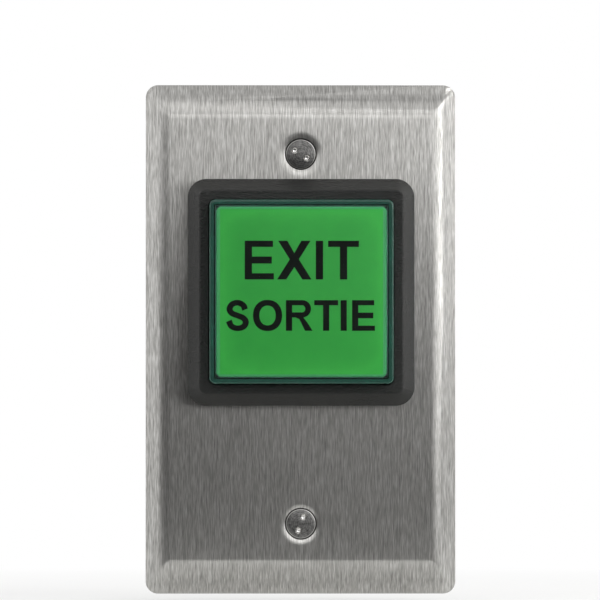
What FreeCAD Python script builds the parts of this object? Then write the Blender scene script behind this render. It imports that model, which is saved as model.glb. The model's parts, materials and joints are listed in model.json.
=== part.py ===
import FreeCAD, Part
import math
import os
import Sketcher

# Door exit button on a single-gang wall plate, in millimetres.
# The origin lies on the wall, midway between the two plate screws.
# The front faces -Y, +Y runs into the wall, +X is to the right and +Z is up.
# The button's own pieces are made about the Y axis and then lifted to its height on the plate.

SIZES = (
    # Pressed steel wall plate
    ("plate_width", 70.0),
    ("plate_height", 115.0),
    ("plate_rise", 5.5),
    ("plate_corner", 2.8),
    ("sheet_thickness", 0.9),
    ("side_slope", 34.0),
    ("side_bend", 3.6),
    ("end_slope", 42.0),
    ("end_bend", 6.9),
    ("screw_spacing", 83.34),
    ("button_height", 10.4),
    ("dimple_width", 8.2),
    ("dimple_hole", 4.0),
    ("dimple_angle", 82.0),
    ("dimple_shoulder", 0.3),
    # Plate screws with two-pit heads
    ("head_width", 7.0),
    ("head_edge", 0.2),
    ("head_dome", 0.4),
    ("head_crown_width", 5.0),
    ("head_gap", 0.05),
    ("pit_width", 1.6),
    ("pit_spacing", 3.25),
    ("pit_depth", 0.8),
    ("neck_width", 2.8),
    ("screw_width", 3.5),
    ("screw_reach", 20.5),
    ("thread_start_gap", 0.4),
    ("upper_screw_turn", 32.0),
    ("lower_screw_turn", 110.0),
    # Bezel and threaded barrel, one moulding
    ("bezel_rim", 4.6),
    ("bezel_rise", 8.0),
    ("bezel_corner", 4.2),
    ("bevel_width", 2.7),
    ("bevel_depth", 4.0),
    ("bezel_edge", 0.2),
    ("floor_thickness", 2.0),
    ("core_outer_wall", 1.5),
    ("core_inner_wall", 1.5),
    ("core_depth", 4.3),
    ("barrel_wall", 1.8),
    ("barrel_reach", 19.6),
    ("plate_hole_gap", 0.3),
    ("key_width", 2.4),
    ("key_rise", 1.3),
    ("key_gap", 0.2),
    ("shelf_depth", 6.0),
    ("shelf_thickness", 2.0),
    ("nut_wall", 2.35),
    ("nut_flange_reach", 2.0),
    ("nut_flange_thickness", 1.6),
    ("nut_depth", 8.0),
    ("nut_gap", 0.15),
    ("nut_rib_count", 16),
    ("nut_rib_width", 1.8),
    ("nut_rib_rise", 1.1),
    # Lens, legend and plunger, which travel together
    ("press_travel", 3.5),
    ("floor_gap", 0.4),
    ("well_gap", 0.3),
    ("lens_width", 41.2),
    ("lens_proud", 3.5),
    ("lens_wall", 1.4),
    ("lens_front_wall", 1.5),
    ("lens_corner", 1.3),
    ("lens_edge", 0.8),
    ("lens_edge_step", 0.25),
    ("legend_thickness", 1.2),
    ("legend_chamfer", 0.3),
    ("diffuser_thickness", 0.5),
    ("inlay_gap", 0.1),
    ("tray_thickness", 1.6),
    ("skirt_wall", 1.3),
    ("skirt_gap", 0.1),
    ("catch_width", 5.0),
    ("catch_spacing", 20.0),
    ("catch_thickness", 1.0),
    ("catch_rise", 0.7),
    ("catch_gap", 0.15),
    ("stem_lamp_gap", 0.85),
    ("stem_wall", 1.05),
    ("stem_gap", 0.3),
    ("stem_depth", 7.5),
    ("leg_width", 5.0),
    ("leg_spring_gap", 1.25),
    ("leg_thickness", 2.5),
    ("leg_gap", 0.3),
    ("leg_side_gap", 0.8),
    ("prong_gap", 1.4),
    ("prong_length", 9.0),
    ("barb_rise", 1.1),
    ("barb_length", 2.6),
    ("barb_gap", 0.05),
    ("pusher_width", 3.0),
    ("spring_wire", 0.8),
    ("spring_side_gap", 0.35),
    ("spring_end_gap", 0.05),
    ("spring_turns", 7),
    ("steps_a_turn", 12),
    # Lamp and its holder, which turns into the barrel's rear end
    ("flange_inset", 0.5),
    ("flange_thickness", 1.8),
    ("boss_length", 5.0),
    ("boss_gap", 0.2),
    ("leg_opening_gap", 0.4),
    ("post_gap", 0.25),
    ("post_front", 6.0),
    ("post_rear_length", 8.6),
    ("lug_angle", 18.0),
    ("lug_thickness", 1.8),
    ("lug_setback", 2.2),
    ("lug_inset", 0.4),
    ("lug_slot_gap", 0.25),
    ("lug_turn", 32.0),
    ("lamp_base_width", 8.0),
    ("lamp_base_thickness", 2.2),
    ("lamp_base_length", 12.0),
    ("lamp_slot_gap", 0.1),
    ("lamp_width", 9.2),
    ("lamp_collar", 1.4),
    ("lamp_barrel", 4.4),
    ("lamp_seat_gap", 0.2),
    ("lead_width", 0.44),
    ("lamp_blade_width", 2.8),
    ("lamp_blade_thickness", 0.5),
    ("lamp_blade_offset", 2.2),
    ("lamp_blade_reach", 38.0),
    ("blade_slot_gap", 0.1),
    ("web_inset", 0.8),
    ("web_thickness", 1.1),
    ("peg_width", 3.0),
    ("peg_gap", 0.1),
    ("peg_end", 0.5),
    ("peg_bead", 0.2),
    # Snap switch on the holder's two pegs
    ("switch_gap", 0.15),
    ("switch_length", 27.8),
    ("switch_depth", 15.9),
    ("switch_thickness", 10.3),
    ("switch_setback", 6.0),
    ("switch_wall", 1.4),
    ("switch_side_wall", 1.2),
    ("cover_thickness", 1.0),
    ("peg_inset", 2.8),
    ("peg_boss_width", 5.2),
    ("lever_arm", 20.0),
    ("lever_end_inset", 1.4),
    ("lever_pivot_rise", 1.2),
    ("lever_offset", 0.9),
    ("lever_tilt", 8.6),
    ("lever_width", 4.4),
    ("lever_thickness", 0.4),
    ("lever_overhang", 3.0),
    ("pivot_width", 1.2),
    ("pivot_gap", 0.1),
    ("ear_width", 2.2),
    ("pusher_gap", 0.2),
    ("pin_arm", 8.0),
    ("pin_width", 2.4),
    ("pin_bore_gap", 0.1),
    ("pin_top_gap", 0.14),
    ("pin_dome", 0.4),
    ("pin_crown_width", 1.4),
    ("pin_collar_width", 3.8),
    ("pin_collar_thickness", 0.9),
    ("pin_collar_gap", 0.05),
    ("pin_foot_width", 2.0),
    ("pin_foot_gap", 0.15),
    ("arch_span", 10.0),
    ("arch_rise", 2.0),
    ("arch_thickness", 0.2),
    ("arch_width", 2.2),
    ("blade_depth", 6.8),
    ("blade_thickness", 0.25),
    ("blade_width", 4.0),
    ("blade_pivot_arm", 3.5),
    ("blade_root", 1.3),
    ("blade_tip", 0.7),
    ("blade_seat_gap", 0.2),
    ("window_width", 2.8),
    ("window_length", 8.6),
    ("contact_place", 1.8),
    ("contact_width", 2.2),
    ("contact_height", 0.3),
    ("contact_gap", 0.7),
    ("contact_rest_gap", 0.05),
    ("arm_thickness", 0.6),
    ("arm_width", 3.0),
    ("terminal_width", 4.75),
    ("terminal_thickness", 0.5),
    ("terminal_reach", 6.3),
    ("terminal_tip", 0.8),
    ("terminal_hole", 1.6),
    ("terminal_slot_gap", 0.05),
    ("common_place", 16.6),
    ("open_place", 8.8),
    ("closed_place", 1.5),
    ("riser_width", 1.3),
)

# Places worked out from the sizes. A name without a sheet is another place.
PLACES = (
    ("plate_front", "-Sizes.plate_rise"),
    ("plate_back", "plate_front + Sizes.sheet_thickness"),
    ("dimple_slope", "tan(Sizes.dimple_angle * 1deg / 2)"),
    ("dimple_bottom", "plate_front + (Sizes.dimple_width - Sizes.dimple_hole) / 2 / dimple_slope"),
    ("dimple_sheet", "Sizes.sheet_thickness / cos(Sizes.dimple_angle * 1deg / 2)"),
    ("screw_height", "Sizes.screw_spacing / 2"),
    ("head_rim", "plate_front + (Sizes.dimple_width / 2 - Sizes.head_width / 2 - Sizes.head_gap)"
                 " / dimple_slope"),
    ("head_end", "head_rim + (Sizes.head_width - Sizes.neck_width) / 2 / dimple_slope"),
    ("head_crown", "head_rim - Sizes.head_edge - Sizes.head_dome"),
    ("thread_start", "max(head_end; dimple_bottom) + Sizes.thread_start_gap"),
    ("bezel_front", "plate_front - Sizes.bezel_rise"),
    ("well_floor", "plate_front - Sizes.floor_thickness"),
    ("well_half", "Sizes.lens_width / 2 + Sizes.well_gap"),
    ("bezel_half", "well_half + Sizes.bezel_rim"),
    ("stem_bore_half", "Sizes.lamp_width / 2 + Sizes.stem_lamp_gap"),
    ("stem_half", "stem_bore_half + Sizes.stem_wall"),
    ("leg_inner", "stem_half + Sizes.spring_side_gap + Sizes.spring_wire + Sizes.leg_spring_gap"),
    ("leg_outer", "leg_inner + Sizes.leg_thickness"),
    ("bore_half", "leg_outer + Sizes.leg_side_gap"),
    ("barrel_half", "bore_half + Sizes.barrel_wall"),
    ("barrel_end", "Sizes.barrel_reach"),
    ("nut_bore", "barrel_half + Sizes.nut_gap"),
    ("nut_half", "nut_bore + Sizes.nut_wall"),
    ("nut_flange_half", "nut_half + Sizes.nut_flange_reach"),
    ("shelf_front", "Sizes.shelf_depth"),
    ("shelf_back", "shelf_front + Sizes.shelf_thickness"),
    ("lens_front", "bezel_front - Sizes.lens_proud"),
    ("lens_rim", "well_floor - Sizes.press_travel - Sizes.floor_gap"),
    ("lens_inside", "lens_front + Sizes.lens_front_wall"),
    ("lens_inner_half", "Sizes.lens_width / 2 - Sizes.lens_wall"),
    ("inlay_half", "lens_inner_half - Sizes.inlay_gap"),
    ("inlay_corner", "max(Sizes.lens_corner - Sizes.inlay_gap; 0.2)"),
    ("diffuser_front", "lens_inside + Sizes.legend_thickness"),
    ("tray_front", "diffuser_front + Sizes.diffuser_thickness"),
    ("tray_back", "tray_front + Sizes.tray_thickness"),
    ("catch_front", "tray_back - Sizes.catch_thickness"),
    ("stem_end", "Sizes.stem_depth"),
    ("barb_front", "shelf_back + Sizes.barb_gap"),
    ("barb_end", "barb_front + Sizes.barb_length"),
    ("spring_radius", "stem_half + Sizes.spring_side_gap + Sizes.spring_wire / 2"),
    ("spring_front", "tray_back + Sizes.spring_end_gap + Sizes.spring_wire / 2"),
    ("spring_back", "shelf_front - Sizes.spring_end_gap - Sizes.spring_wire / 2"),
    ("flange_front", "barrel_end"),
    ("flange_back", "flange_front + Sizes.flange_thickness"),
    ("flange_half", "barrel_half - Sizes.flange_inset"),
    ("post_half", "stem_bore_half - Sizes.post_gap"),
    ("boss_half", "bore_half - Sizes.boss_gap"),
    ("boss_front", "flange_front - Sizes.boss_length"),
    ("lug_back", "flange_front - Sizes.lug_setback"),
    ("lug_front", "lug_back - Sizes.lug_thickness"),
    ("lug_half", "barrel_half - Sizes.lug_inset"),
    ("lamp_seat", "Sizes.post_front - Sizes.lamp_seat_gap"),
    ("lamp_base_end", "lamp_seat + Sizes.lamp_base_length"),
    ("lead_middle", "Sizes.lamp_base_thickness / 2 + Sizes.lead_width / 2 + 0.02"),
    ("lamp_blade_inner", "Sizes.lamp_base_thickness / 2 + Sizes.lead_width + 0.06"),
    ("web_left", "post_half - Sizes.web_inset"),
    ("web_right", "web_left + Sizes.web_thickness"),
    ("switch_left", "web_right + Sizes.switch_gap"),
    ("switch_right", "switch_left + Sizes.switch_thickness"),
    ("switch_middle", "(switch_left + switch_right) / 2"),
    ("cover_left", "switch_right - Sizes.cover_thickness"),
    ("cavity_left", "switch_left + Sizes.switch_side_wall"),
    ("switch_front", "flange_back + Sizes.switch_setback"),
    ("switch_back", "switch_front + Sizes.switch_depth"),
    ("switch_high", "Sizes.lever_arm + Sizes.lever_end_inset"),
    ("switch_low", "switch_high - Sizes.switch_length"),
    ("cavity_front", "switch_front + Sizes.switch_wall"),
    ("cavity_back", "switch_back - Sizes.switch_wall"),
    ("upper_peg_depth", "switch_front + Sizes.peg_inset"),
    ("upper_peg_height", "switch_high - Sizes.peg_inset"),
    ("lower_peg_depth", "switch_back - Sizes.peg_inset"),
    ("lower_peg_height", "switch_low + Sizes.peg_inset"),
    ("pivot_depth", "switch_front - Sizes.lever_pivot_rise"),
    ("lever_slope", "tan(Sizes.lever_tilt * 1deg)"),
    ("lever_stand", "(Sizes.lever_offset + Sizes.lever_thickness / 2) / cos(Sizes.lever_tilt * 1deg)"),
    ("lever_face", "pivot_depth - Sizes.lever_arm * lever_slope - lever_stand"),
    ("pusher_end", "lever_face - Sizes.pusher_gap"),
    ("pin_height", "Sizes.lever_arm - Sizes.pin_arm"),
    ("pin_top", "pivot_depth - Sizes.pin_arm * lever_slope - lever_stand"
                " + Sizes.lever_thickness / cos(Sizes.lever_tilt * 1deg) + Sizes.pin_top_gap"),
    ("collar_front", "cavity_front + Sizes.pin_collar_gap"),
    ("blade_front", "switch_front + Sizes.blade_depth"),
    ("blade_back", "blade_front + Sizes.blade_thickness"),
    ("arch_foot", "blade_front - Sizes.contact_rest_gap"),
    ("arch_top", "arch_foot - Sizes.arch_rise"),
    ("arch_round", "((Sizes.arch_span / 2) ^ 2 + Sizes.arch_rise ^ 2) / (2 * Sizes.arch_rise)"),
    ("arch_inner_half", "sqrt((arch_round - Sizes.arch_thickness) ^ 2"
                        " - (arch_round - Sizes.arch_rise) ^ 2)"),
    ("foot_end", "arch_top - Sizes.pin_foot_gap"),
    ("blade_pivot_height", "Sizes.lever_arm - Sizes.blade_pivot_arm"),
    ("blade_high", "blade_pivot_height + Sizes.blade_root"),
    ("closed_contact", "blade_front - Sizes.contact_height - Sizes.contact_rest_gap"),
    ("open_contact", "blade_back + Sizes.contact_height + Sizes.contact_gap"),
    ("closed_arm_back", "closed_contact - Sizes.contact_height"),
    ("closed_arm_front", "closed_arm_back - Sizes.arm_thickness"),
    ("open_arm_front", "open_contact + Sizes.contact_height"),
    ("open_arm_back", "open_arm_front + Sizes.arm_thickness"),
    ("common_arm_front", "blade_back + Sizes.blade_seat_gap"),
    ("common_arm_back", "common_arm_front + Sizes.arm_thickness"),
    ("terminal_end", "switch_back + Sizes.terminal_reach"),
    ("terminal_hole_depth", "switch_back + Sizes.terminal_reach / 2"),
)

doc = FreeCAD.newDocument("exit_button")
sizes = doc.addObject("Spreadsheet::Sheet", "Sizes")
places = doc.addObject("Spreadsheet::Sheet", "Places")
for row, (alias, value) in enumerate(SIZES, start=1):
    sizes.set(f"A{row}", alias)
    sizes.set(f"B{row}", str(value))
    sizes.setAlias(f"B{row}", alias)
doc.recompute()
for row, (alias, formula) in enumerate(PLACES, start=1):
    places.set(f"A{row}", alias)
    places.set(f"B{row}", "=" + formula)
    places.setAlias(f"B{row}", alias)
doc.recompute()

X, Y, Z = FreeCAD.Vector(1, 0, 0), FreeCAD.Vector(0, 1, 0), FreeCAD.Vector(0, 0, 1)
# Each plane's turn from the XY plane, its driving direction and that direction's letter
PLANES = {
    "XY_Plane": (FreeCAD.Rotation(Z, 0), Z, "z"),
    "XZ_Plane": (FreeCAD.Rotation(X, 90), Y, "y"),
    "YZ_Plane": (FreeCAD.Rotation(FreeCAD.Vector(1, 1, 1), 120), X, "x"),
}
BORE_AXES = {
    "x": FreeCAD.Rotation(Y, 90),
    "y": FreeCAD.Rotation(X, -90),
    "z": FreeCAD.Rotation(Z, 0),
}


# Sketching


def value(expression):
    return float(sizes.evalExpression(str(expression)))


def bind(sketch, constraint, expression):
    index = sketch.addConstraint(constraint)
    sketch.setExpression(f"Constraints[{index}]", str(expression))


def pin_point(sketch, line, end, across, up):
    bind(sketch, Sketcher.Constraint("DistanceX", -1, 1, line, end, value(across)), across)
    bind(sketch, Sketcher.Constraint("DistanceY", -1, 1, line, end, value(up)), up)


def draw_outline(sketch, corners):
    """A closed outline. A corner is (across, up), with a third entry where an arc of that radius
    leaves it: it bulges to the right of the way along, or to the left where the entry is negative."""
    first = len(sketch.Geometry)
    points = [FreeCAD.Vector(value(c[0]), value(c[1]), 0) for c in corners]
    count = len(corners)
    ends = []
    for i, corner in enumerate(corners):
        start, end = points[i], points[(i + 1) % count]
        if len(corner) == 2:
            sketch.addGeometry(Part.LineSegment(start, end))
            ends.append((1, 2))
            continue
        radius = value(corner[2])
        chord = end - start
        sagitta = abs(radius) - math.sqrt(max(radius ** 2 - (chord.Length / 2) ** 2, 0))
        side = FreeCAD.Vector(chord.y, -chord.x, 0).normalize() * math.copysign(sagitta, radius)
        middle = (start + end) * 0.5 + side
        # An arc always runs anticlockwise, so one that bulges to the left is drawn backwards.
        sketch.addGeometry(Part.Arc(start, middle, end) if radius > 0 else Part.Arc(end, middle, start))
        ends.append((1, 2) if radius > 0 else (2, 1))
    for i, corner in enumerate(corners):
        before = (i - 1) % count
        join = (first + before, ends[before][1], first + i, ends[i][0])
        sketch.addConstraint(Sketcher.Constraint("Coincident", *join))
        pin_point(sketch, first + i, ends[i][0], corner[0], corner[1])
        if len(corner) == 3:
            radius = f"abs({corner[2]})"
            bind(sketch, Sketcher.Constraint("Radius", first + i, value(radius)), radius)


def draw_rectangle(sketch, left, right, low, high):
    draw_outline(sketch, ((left, low), (right, low), (right, high), (left, high)))


def draw_rounded(sketch, half_width, half_height, corner):
    """A centred rectangle with round corners."""
    wide, high = f"({half_width})", f"({half_height})"
    flat, rise = f"({wide} - ({corner}))", f"({high} - ({corner}))"
    draw_outline(
        sketch,
        (
            (f"-{flat}", f"-{high}"),
            (flat, f"-{high}", corner),
            (wide, f"-{rise}"),
            (wide, rise, corner),
            (flat, high),
            (f"-{flat}", high, corner),
            (f"-{wide}", rise),
            (f"-{wide}", f"-{rise}", corner),
        ),
    )


def draw_circle(sketch, radius, across="0", up="0"):
    centre = FreeCAD.Vector(value(across), value(up), 0)
    circle = sketch.addGeometry(Part.Circle(centre, Z, value(radius)))
    pin_point(sketch, circle, 3, across, up)
    bind(sketch, Sketcher.Constraint("Radius", circle, value(radius)), radius)


# Bodies made of sketched features. A level is a place along the plane's driving direction.


def new_body(name):
    body = doc.addObject("PartDesign::Body", name)
    body.Label = name
    return body


def sketch_in(body, name, plane, level="0"):
    support = next(f for f in body.Origin.OriginFeatures if f.Role == plane)
    sketch = body.newObject("Sketcher::SketchObject", name)
    sketch.AttachmentSupport = [(support, "")]
    sketch.MapMode = "FlatFace"
    along = -1 if plane == "XZ_Plane" else 1
    sketch.setExpression("AttachmentOffset.Base.z", f"{along} * ({level})")
    return sketch


def settle(body, volume_before, should_grow):
    """Recomputes and makes sure that the last feature added or removed material."""
    doc.recompute()
    change = body.Shape.Volume - volume_before
    if (change > 0) != should_grow or abs(change) < 1e-6:
        raise RuntimeError(f"{body.Label}: {body.Tip.Name} changed the volume by {change:.4f}")


def volume_of(body):
    return 0.0 if body.Shape.isNull() else body.Shape.Volume


def add_pad(body, sketch, length, onwards=True, taper=None):
    """Pads along the driving direction, or against it where onwards is false."""
    before = volume_of(body)
    pad = body.newObject("PartDesign::Pad", sketch.Name + "_pad")
    pad.Profile = sketch
    pad.setExpression("Length", length)
    facing_front = sketch.AttachmentSupport[0][0].Role == "XZ_Plane"
    pad.Reversed = onwards if facing_front else not onwards
    if taper:
        pad.setExpression("TaperAngle", taper)
    sketch.Visibility = False
    settle(body, before, True)
    return pad


def add_pocket(body, sketch, length, onwards=True):
    before = volume_of(body)
    pocket = body.newObject("PartDesign::Pocket", sketch.Name + "_pocket")
    pocket.Profile = sketch
    pocket.setExpression("Length", length)
    facing_front = sketch.AttachmentSupport[0][0].Role == "XZ_Plane"
    pocket.Reversed = (not onwards) if facing_front else onwards
    sketch.Visibility = False
    settle(body, before, False)
    return pocket


def add_turned(body, sketch, angle=None, cut=False):
    """Turns a sketch about the Y axis, by a whole turn or by an angle to both sides of it."""
    before = volume_of(body)
    kind = "PartDesign::Groove" if cut else "PartDesign::Revolution"
    turned = body.newObject(kind, sketch.Name + "_turned")
    turned.Profile = sketch
    turned.ReferenceAxis = (sketch, ["V_Axis"])
    if angle:
        turned.Midplane = True
        turned.setExpression("Angle", angle)
    sketch.Visibility = False
    settle(body, before, not cut)
    return turned


def add_ring_of(body, name, features, count):
    """Repeats features about the Y axis."""
    pattern = body.newObject("PartDesign::PolarPattern", name)
    pattern.Originals = features
    axis = next(f for f in body.Origin.OriginFeatures if f.Role == "Y_Axis")
    pattern.Axis = (axis, [""])
    pattern.Angle = 360
    pattern.setExpression("Occurrences", str(count))
    body.Tip = pattern
    doc.recompute()
    return pattern


def add_chamfer(body, name, size, level):
    """Chamfers the edges that lie wholly in the plane at this Y."""
    base, depth = body.Tip, value(level)
    boxes = [edge.BoundBox for edge in base.Shape.Edges]
    picked = [
        f"Edge{i}"
        for i, box in enumerate(boxes, start=1)
        if abs(box.YMin - depth) < 1e-5 and abs(box.YMax - depth) < 1e-5
    ]
    chamfer = body.newObject("PartDesign::Chamfer", name)
    chamfer.Base = (base, picked)
    chamfer.setExpression("Size", size)
    doc.recompute()


# Loose solids and their combinations


def loose_sketch(name, plane, level):
    turn, along, letter = PLANES[plane]
    sketch = doc.addObject("Sketcher::SketchObject", name)
    sketch.Placement = FreeCAD.Placement(along * value(level), turn)
    sketch.setExpression(f"Placement.Base.{letter}", str(level))
    sketch.Visibility = False
    return sketch


def slab(name, plane, low, high, corners, holes=()):
    """A flat piece between two levels, with round holes given as (radius, across, up)."""
    sketch = loose_sketch(name + "_sketch", plane, low)
    draw_outline(sketch, corners)
    for radius, across, up in holes:
        draw_circle(sketch, radius, across, up)
    return drive(name, sketch, PLANES[plane][1], f"({high}) - ({low})")


def drive(name, sketch, along, length, both_ways=False):
    solid = doc.addObject("Part::Extrusion", name)
    solid.Base = sketch
    solid.DirMode = "Custom"
    solid.Dir = along
    solid.Solid = True
    solid.Symmetric = both_ways
    solid.setExpression("LengthFwd", length)
    return solid


def block(name, left, right, front, back, low, high):
    solid = doc.addObject("Part::Box", name)
    solid.setExpression("Length", f"({right}) - ({left})")
    solid.setExpression("Width", f"({back}) - ({front})")
    solid.setExpression("Height", f"({high}) - ({low})")
    for letter, start in (("x", left), ("y", front), ("z", low)):
        solid.setExpression(f"Placement.Base.{letter}", str(start))
    return solid


def put_round(solid, axis, start, across):
    """Stands a round solid on a point, with its axis along X, Y or Z."""
    solid.Placement = FreeCAD.Placement(FreeCAD.Vector(), BORE_AXES[axis])
    letters = [letter for letter in "xyz" if letter != axis]
    for letter, place in ((axis, start), (letters[0], across[0]), (letters[1], across[1])):
        solid.setExpression(f"Placement.Base.{letter}", str(place))


def rod(name, axis, radius, start, end, across=("0", "0")):
    solid = doc.addObject("Part::Cylinder", name)
    solid.setExpression("Radius", radius)
    solid.setExpression("Height", f"({end}) - ({start})")
    put_round(solid, axis, start, across)
    return solid


def six_sided(name, axis, radius, start, end, across=("0", "0")):
    solid = doc.addObject("Part::Prism", name)
    solid.Polygon = 6
    solid.setExpression("Circumradius", radius)
    solid.setExpression("Height", f"({end}) - ({start})")
    put_round(solid, axis, start, across)
    return solid


def cone(name, axis, start_radius, end_radius, start, end, across=("0", "0")):
    solid = doc.addObject("Part::Cone", name)
    solid.setExpression("Radius1", start_radius)
    solid.setExpression("Radius2", end_radius)
    solid.setExpression("Height", f"({end}) - ({start})")
    put_round(solid, axis, start, across)
    return solid


def combine(kind, name, members):
    result = doc.addObject(f"Part::{kind}", name)
    result.Shapes = members
    result.Refine = True
    return result


def cut(name, base, tools):
    result = doc.addObject("Part::Cut", name)
    result.Base = base
    result.Tool = tools[0] if len(tools) == 1 else combine("MultiFuse", name + "_tools", tools)
    result.Refine = True
    return result


def group(name, members):
    result = doc.addObject("Part::Compound", name)
    result.Links = members
    result.Label = name
    return result


nodes = []


def keep(name, item):
    item.Label = name
    nodes.append((name, item))


def keep_lifted(name, item, height="0"):
    """A piece of the button, from the Y axis up to the button's place on the plate."""
    item.setExpression("Placement.Base.z", f"Sizes.button_height + {height}")
    keep(name, item)


# Wall plate: one pressed sheet, hollow behind, with sloping sides that meet in soft mitres


def pressed_profile(name, plane, half, slope, bend, inset):
    """The sheet's section across one way. inset is how far it lies inside the outer skin."""
    lean = f"({slope} * 1deg)"
    rim = f"({half} - {inset} / cos({lean}))"
    rise = f"(Sizes.plate_rise - {inset})"
    radius = f"({bend} - {inset})"
    run = f"({radius} * tan((90deg - {lean}) / 2))"
    shoulder = f"({rim} - {rise} * tan({lean}))"
    flat = f"({shoulder} - {run})"
    turn_out = f"({shoulder} + {run} * sin({lean}))"
    turn_depth = f"({run} * cos({lean}) - {rise})"
    sketch = doc.addObject("Sketcher::SketchObject", name)
    if plane == "ends":
        sketch.Placement = FreeCAD.Placement(FreeCAD.Vector(), FreeCAD.Rotation(Y, -90))
    sketch.Visibility = False
    draw_outline(
        sketch,
        (
            (rim, "0"),
            (turn_out, turn_depth, f"-{radius}"),
            (flat, f"-{rise}"),
            (f"-{flat}", f"-{rise}", f"-{radius}"),
            (f"-{turn_out}", turn_depth),
            (f"-{rim}", "0"),
        ),
    )
    return sketch


def pressed_form(name, inset):
    """The solid inside a skin of the plate: its two sections driven across each other."""
    sides = pressed_profile(
        name + "_sides", "sides", "Sizes.plate_width / 2", "Sizes.side_slope", "Sizes.side_bend", inset
    )
    ends = pressed_profile(
        name + "_ends", "ends", "Sizes.plate_height / 2", "Sizes.end_slope", "Sizes.end_bend", inset
    )
    rim = loose_sketch(name + "_rim", "XZ_Plane", "0")
    corner = f"max(Sizes.plate_corner - {inset}; 0.2)"
    draw_rounded(rim, f"Sizes.plate_width / 2 - {inset}", f"Sizes.plate_height / 2 - {inset}", corner)
    members = [
        drive(name + "_along", sides, Z, "2 * Sizes.plate_height", both_ways=True),
        drive(name + "_across", ends, X, "2 * Sizes.plate_width", both_ways=True),
        drive(name + "_outline", rim, Y, "4 * Sizes.plate_rise", both_ways=True),
    ]
    return combine("MultiCommon", name, members)


def make_faceplate():
    hollow = cut("plate_shell", pressed_form("plate_skin", "0"),
                 [pressed_form("plate_hollow", "Sizes.sheet_thickness")])
    bumps, cuts = [], []
    for name, height in (("upper", "Places.screw_height"), ("lower", "-Places.screw_height")):
        middle = ("0", height)
        start = "(Places.plate_front + Sizes.sheet_thickness / 2)"
        rise = f"(Places.dimple_bottom - {start}) * Places.dimple_slope"
        foot = "Sizes.dimple_hole / 2 + Places.dimple_sheet"
        bumps.append(
            cone(f"{name}_bump", "y", f"{foot} + {rise}", foot, start, "Places.dimple_bottom", middle)
        )
        mouth = "Sizes.dimple_width / 2"
        deep = "Sizes.dimple_shoulder / Places.dimple_slope"
        cuts += [
            cone(
                f"{name}_dimple", "y", mouth, "Sizes.dimple_hole / 2",
                "Places.plate_front", "Places.dimple_bottom", middle,
            ),
            cone(
                f"{name}_shoulder", "y", f"{mouth} + Sizes.dimple_shoulder",
                f"{mouth} - Sizes.dimple_shoulder", "Places.plate_front",
                f"Places.plate_front + {deep}", middle,
            ),
        ]
    hole = "Places.barrel_half + Sizes.plate_hole_gap"
    middle = "Sizes.button_height"
    cuts.append(rod("barrel_hole", "y", hole, "2 * Places.plate_front", "0", ("0", middle)))
    half_key = "(Sizes.key_width / 2 + Sizes.key_gap)"
    cuts.append(
        block(
            "key_notch", f"-{half_key}", half_key, "2 * Places.plate_front", "0",
            middle, f"{middle} + Places.barrel_half + Sizes.key_rise + Sizes.key_gap",
        )
    )
    keep("faceplate", cut("faceplate", combine("MultiFuse", "plate_pressed", [hollow] + bumps), cuts))


# Plate screws: oval heads with two pits for a pin driver, in the plate's dimples


def make_screw(name, height, turn):
    profile = doc.addObject("Sketcher::SketchObject", name + "_profile")
    profile.Visibility = False
    draw_outline(
        profile,
        (
            ("0", "Places.head_crown"),
            ("Sizes.head_crown_width / 2", "Places.head_crown"),
            ("Sizes.head_width / 2", "Places.head_rim - Sizes.head_edge"),
            ("Sizes.head_width / 2", "Places.head_rim"),
            ("Sizes.neck_width / 2", "Places.head_end"),
            ("Sizes.neck_width / 2", "Places.thread_start"),
            ("Sizes.screw_width / 2", "Places.thread_start"),
            ("Sizes.screw_width / 2", "Sizes.screw_reach"),
            ("0", "Sizes.screw_reach"),
        ),
    )
    shank = doc.addObject("Part::Revolution", name + "_shank")
    shank.Source = profile
    shank.Axis = Y
    shank.Angle = 360
    shank.Solid = True
    pits = [
        rod(
            f"{name}_pit_{side}", "y", "Sizes.pit_width / 2", "Places.plate_front - Sizes.plate_rise",
            "Places.head_crown + Sizes.pit_depth", (f"{sign} * Sizes.pit_spacing / 2", "0"),
        )
        for side, sign in (("left", -1), ("right", 1))
    ]
    screw = cut(name, shank, pits)
    screw.Placement = FreeCAD.Placement(FreeCAD.Vector(), FreeCAD.Rotation(Y, value(turn)))
    screw.setExpression("Placement.Rotation.Angle", f"{turn} * 1deg")
    screw.setExpression("Placement.Base.z", height)
    return screw


def make_plate_screws():
    pair = [
        make_screw("upper_screw", "Places.screw_height", "Sizes.upper_screw_turn"),
        make_screw("lower_screw", "-Places.screw_height", "Sizes.lower_screw_turn"),
    ]
    keep("plate_screws", group("plate_screws", pair))


# Bezel housing: square bevelled bezel with the lens well, and the round barrel behind it


def turned_slot(body, name, middle, angle, front, back):
    """A slot through the barrel's wall, over an angle about a direction given from +X."""
    sketch = sketch_in(body, name, "XY_Plane")
    sketch.AttachmentOffset = FreeCAD.Placement(
        FreeCAD.Vector(), FreeCAD.Rotation(Y, value(middle))
    )
    sketch.setExpression("AttachmentOffset.Rotation.Angle", f"({middle}) * 1deg")
    draw_rectangle(
        sketch, "Places.boss_half", "Places.barrel_half + Sizes.nut_gap",
        front, back,
    )
    return add_turned(body, sketch, f"({angle}) * 1deg", cut=True)


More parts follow.
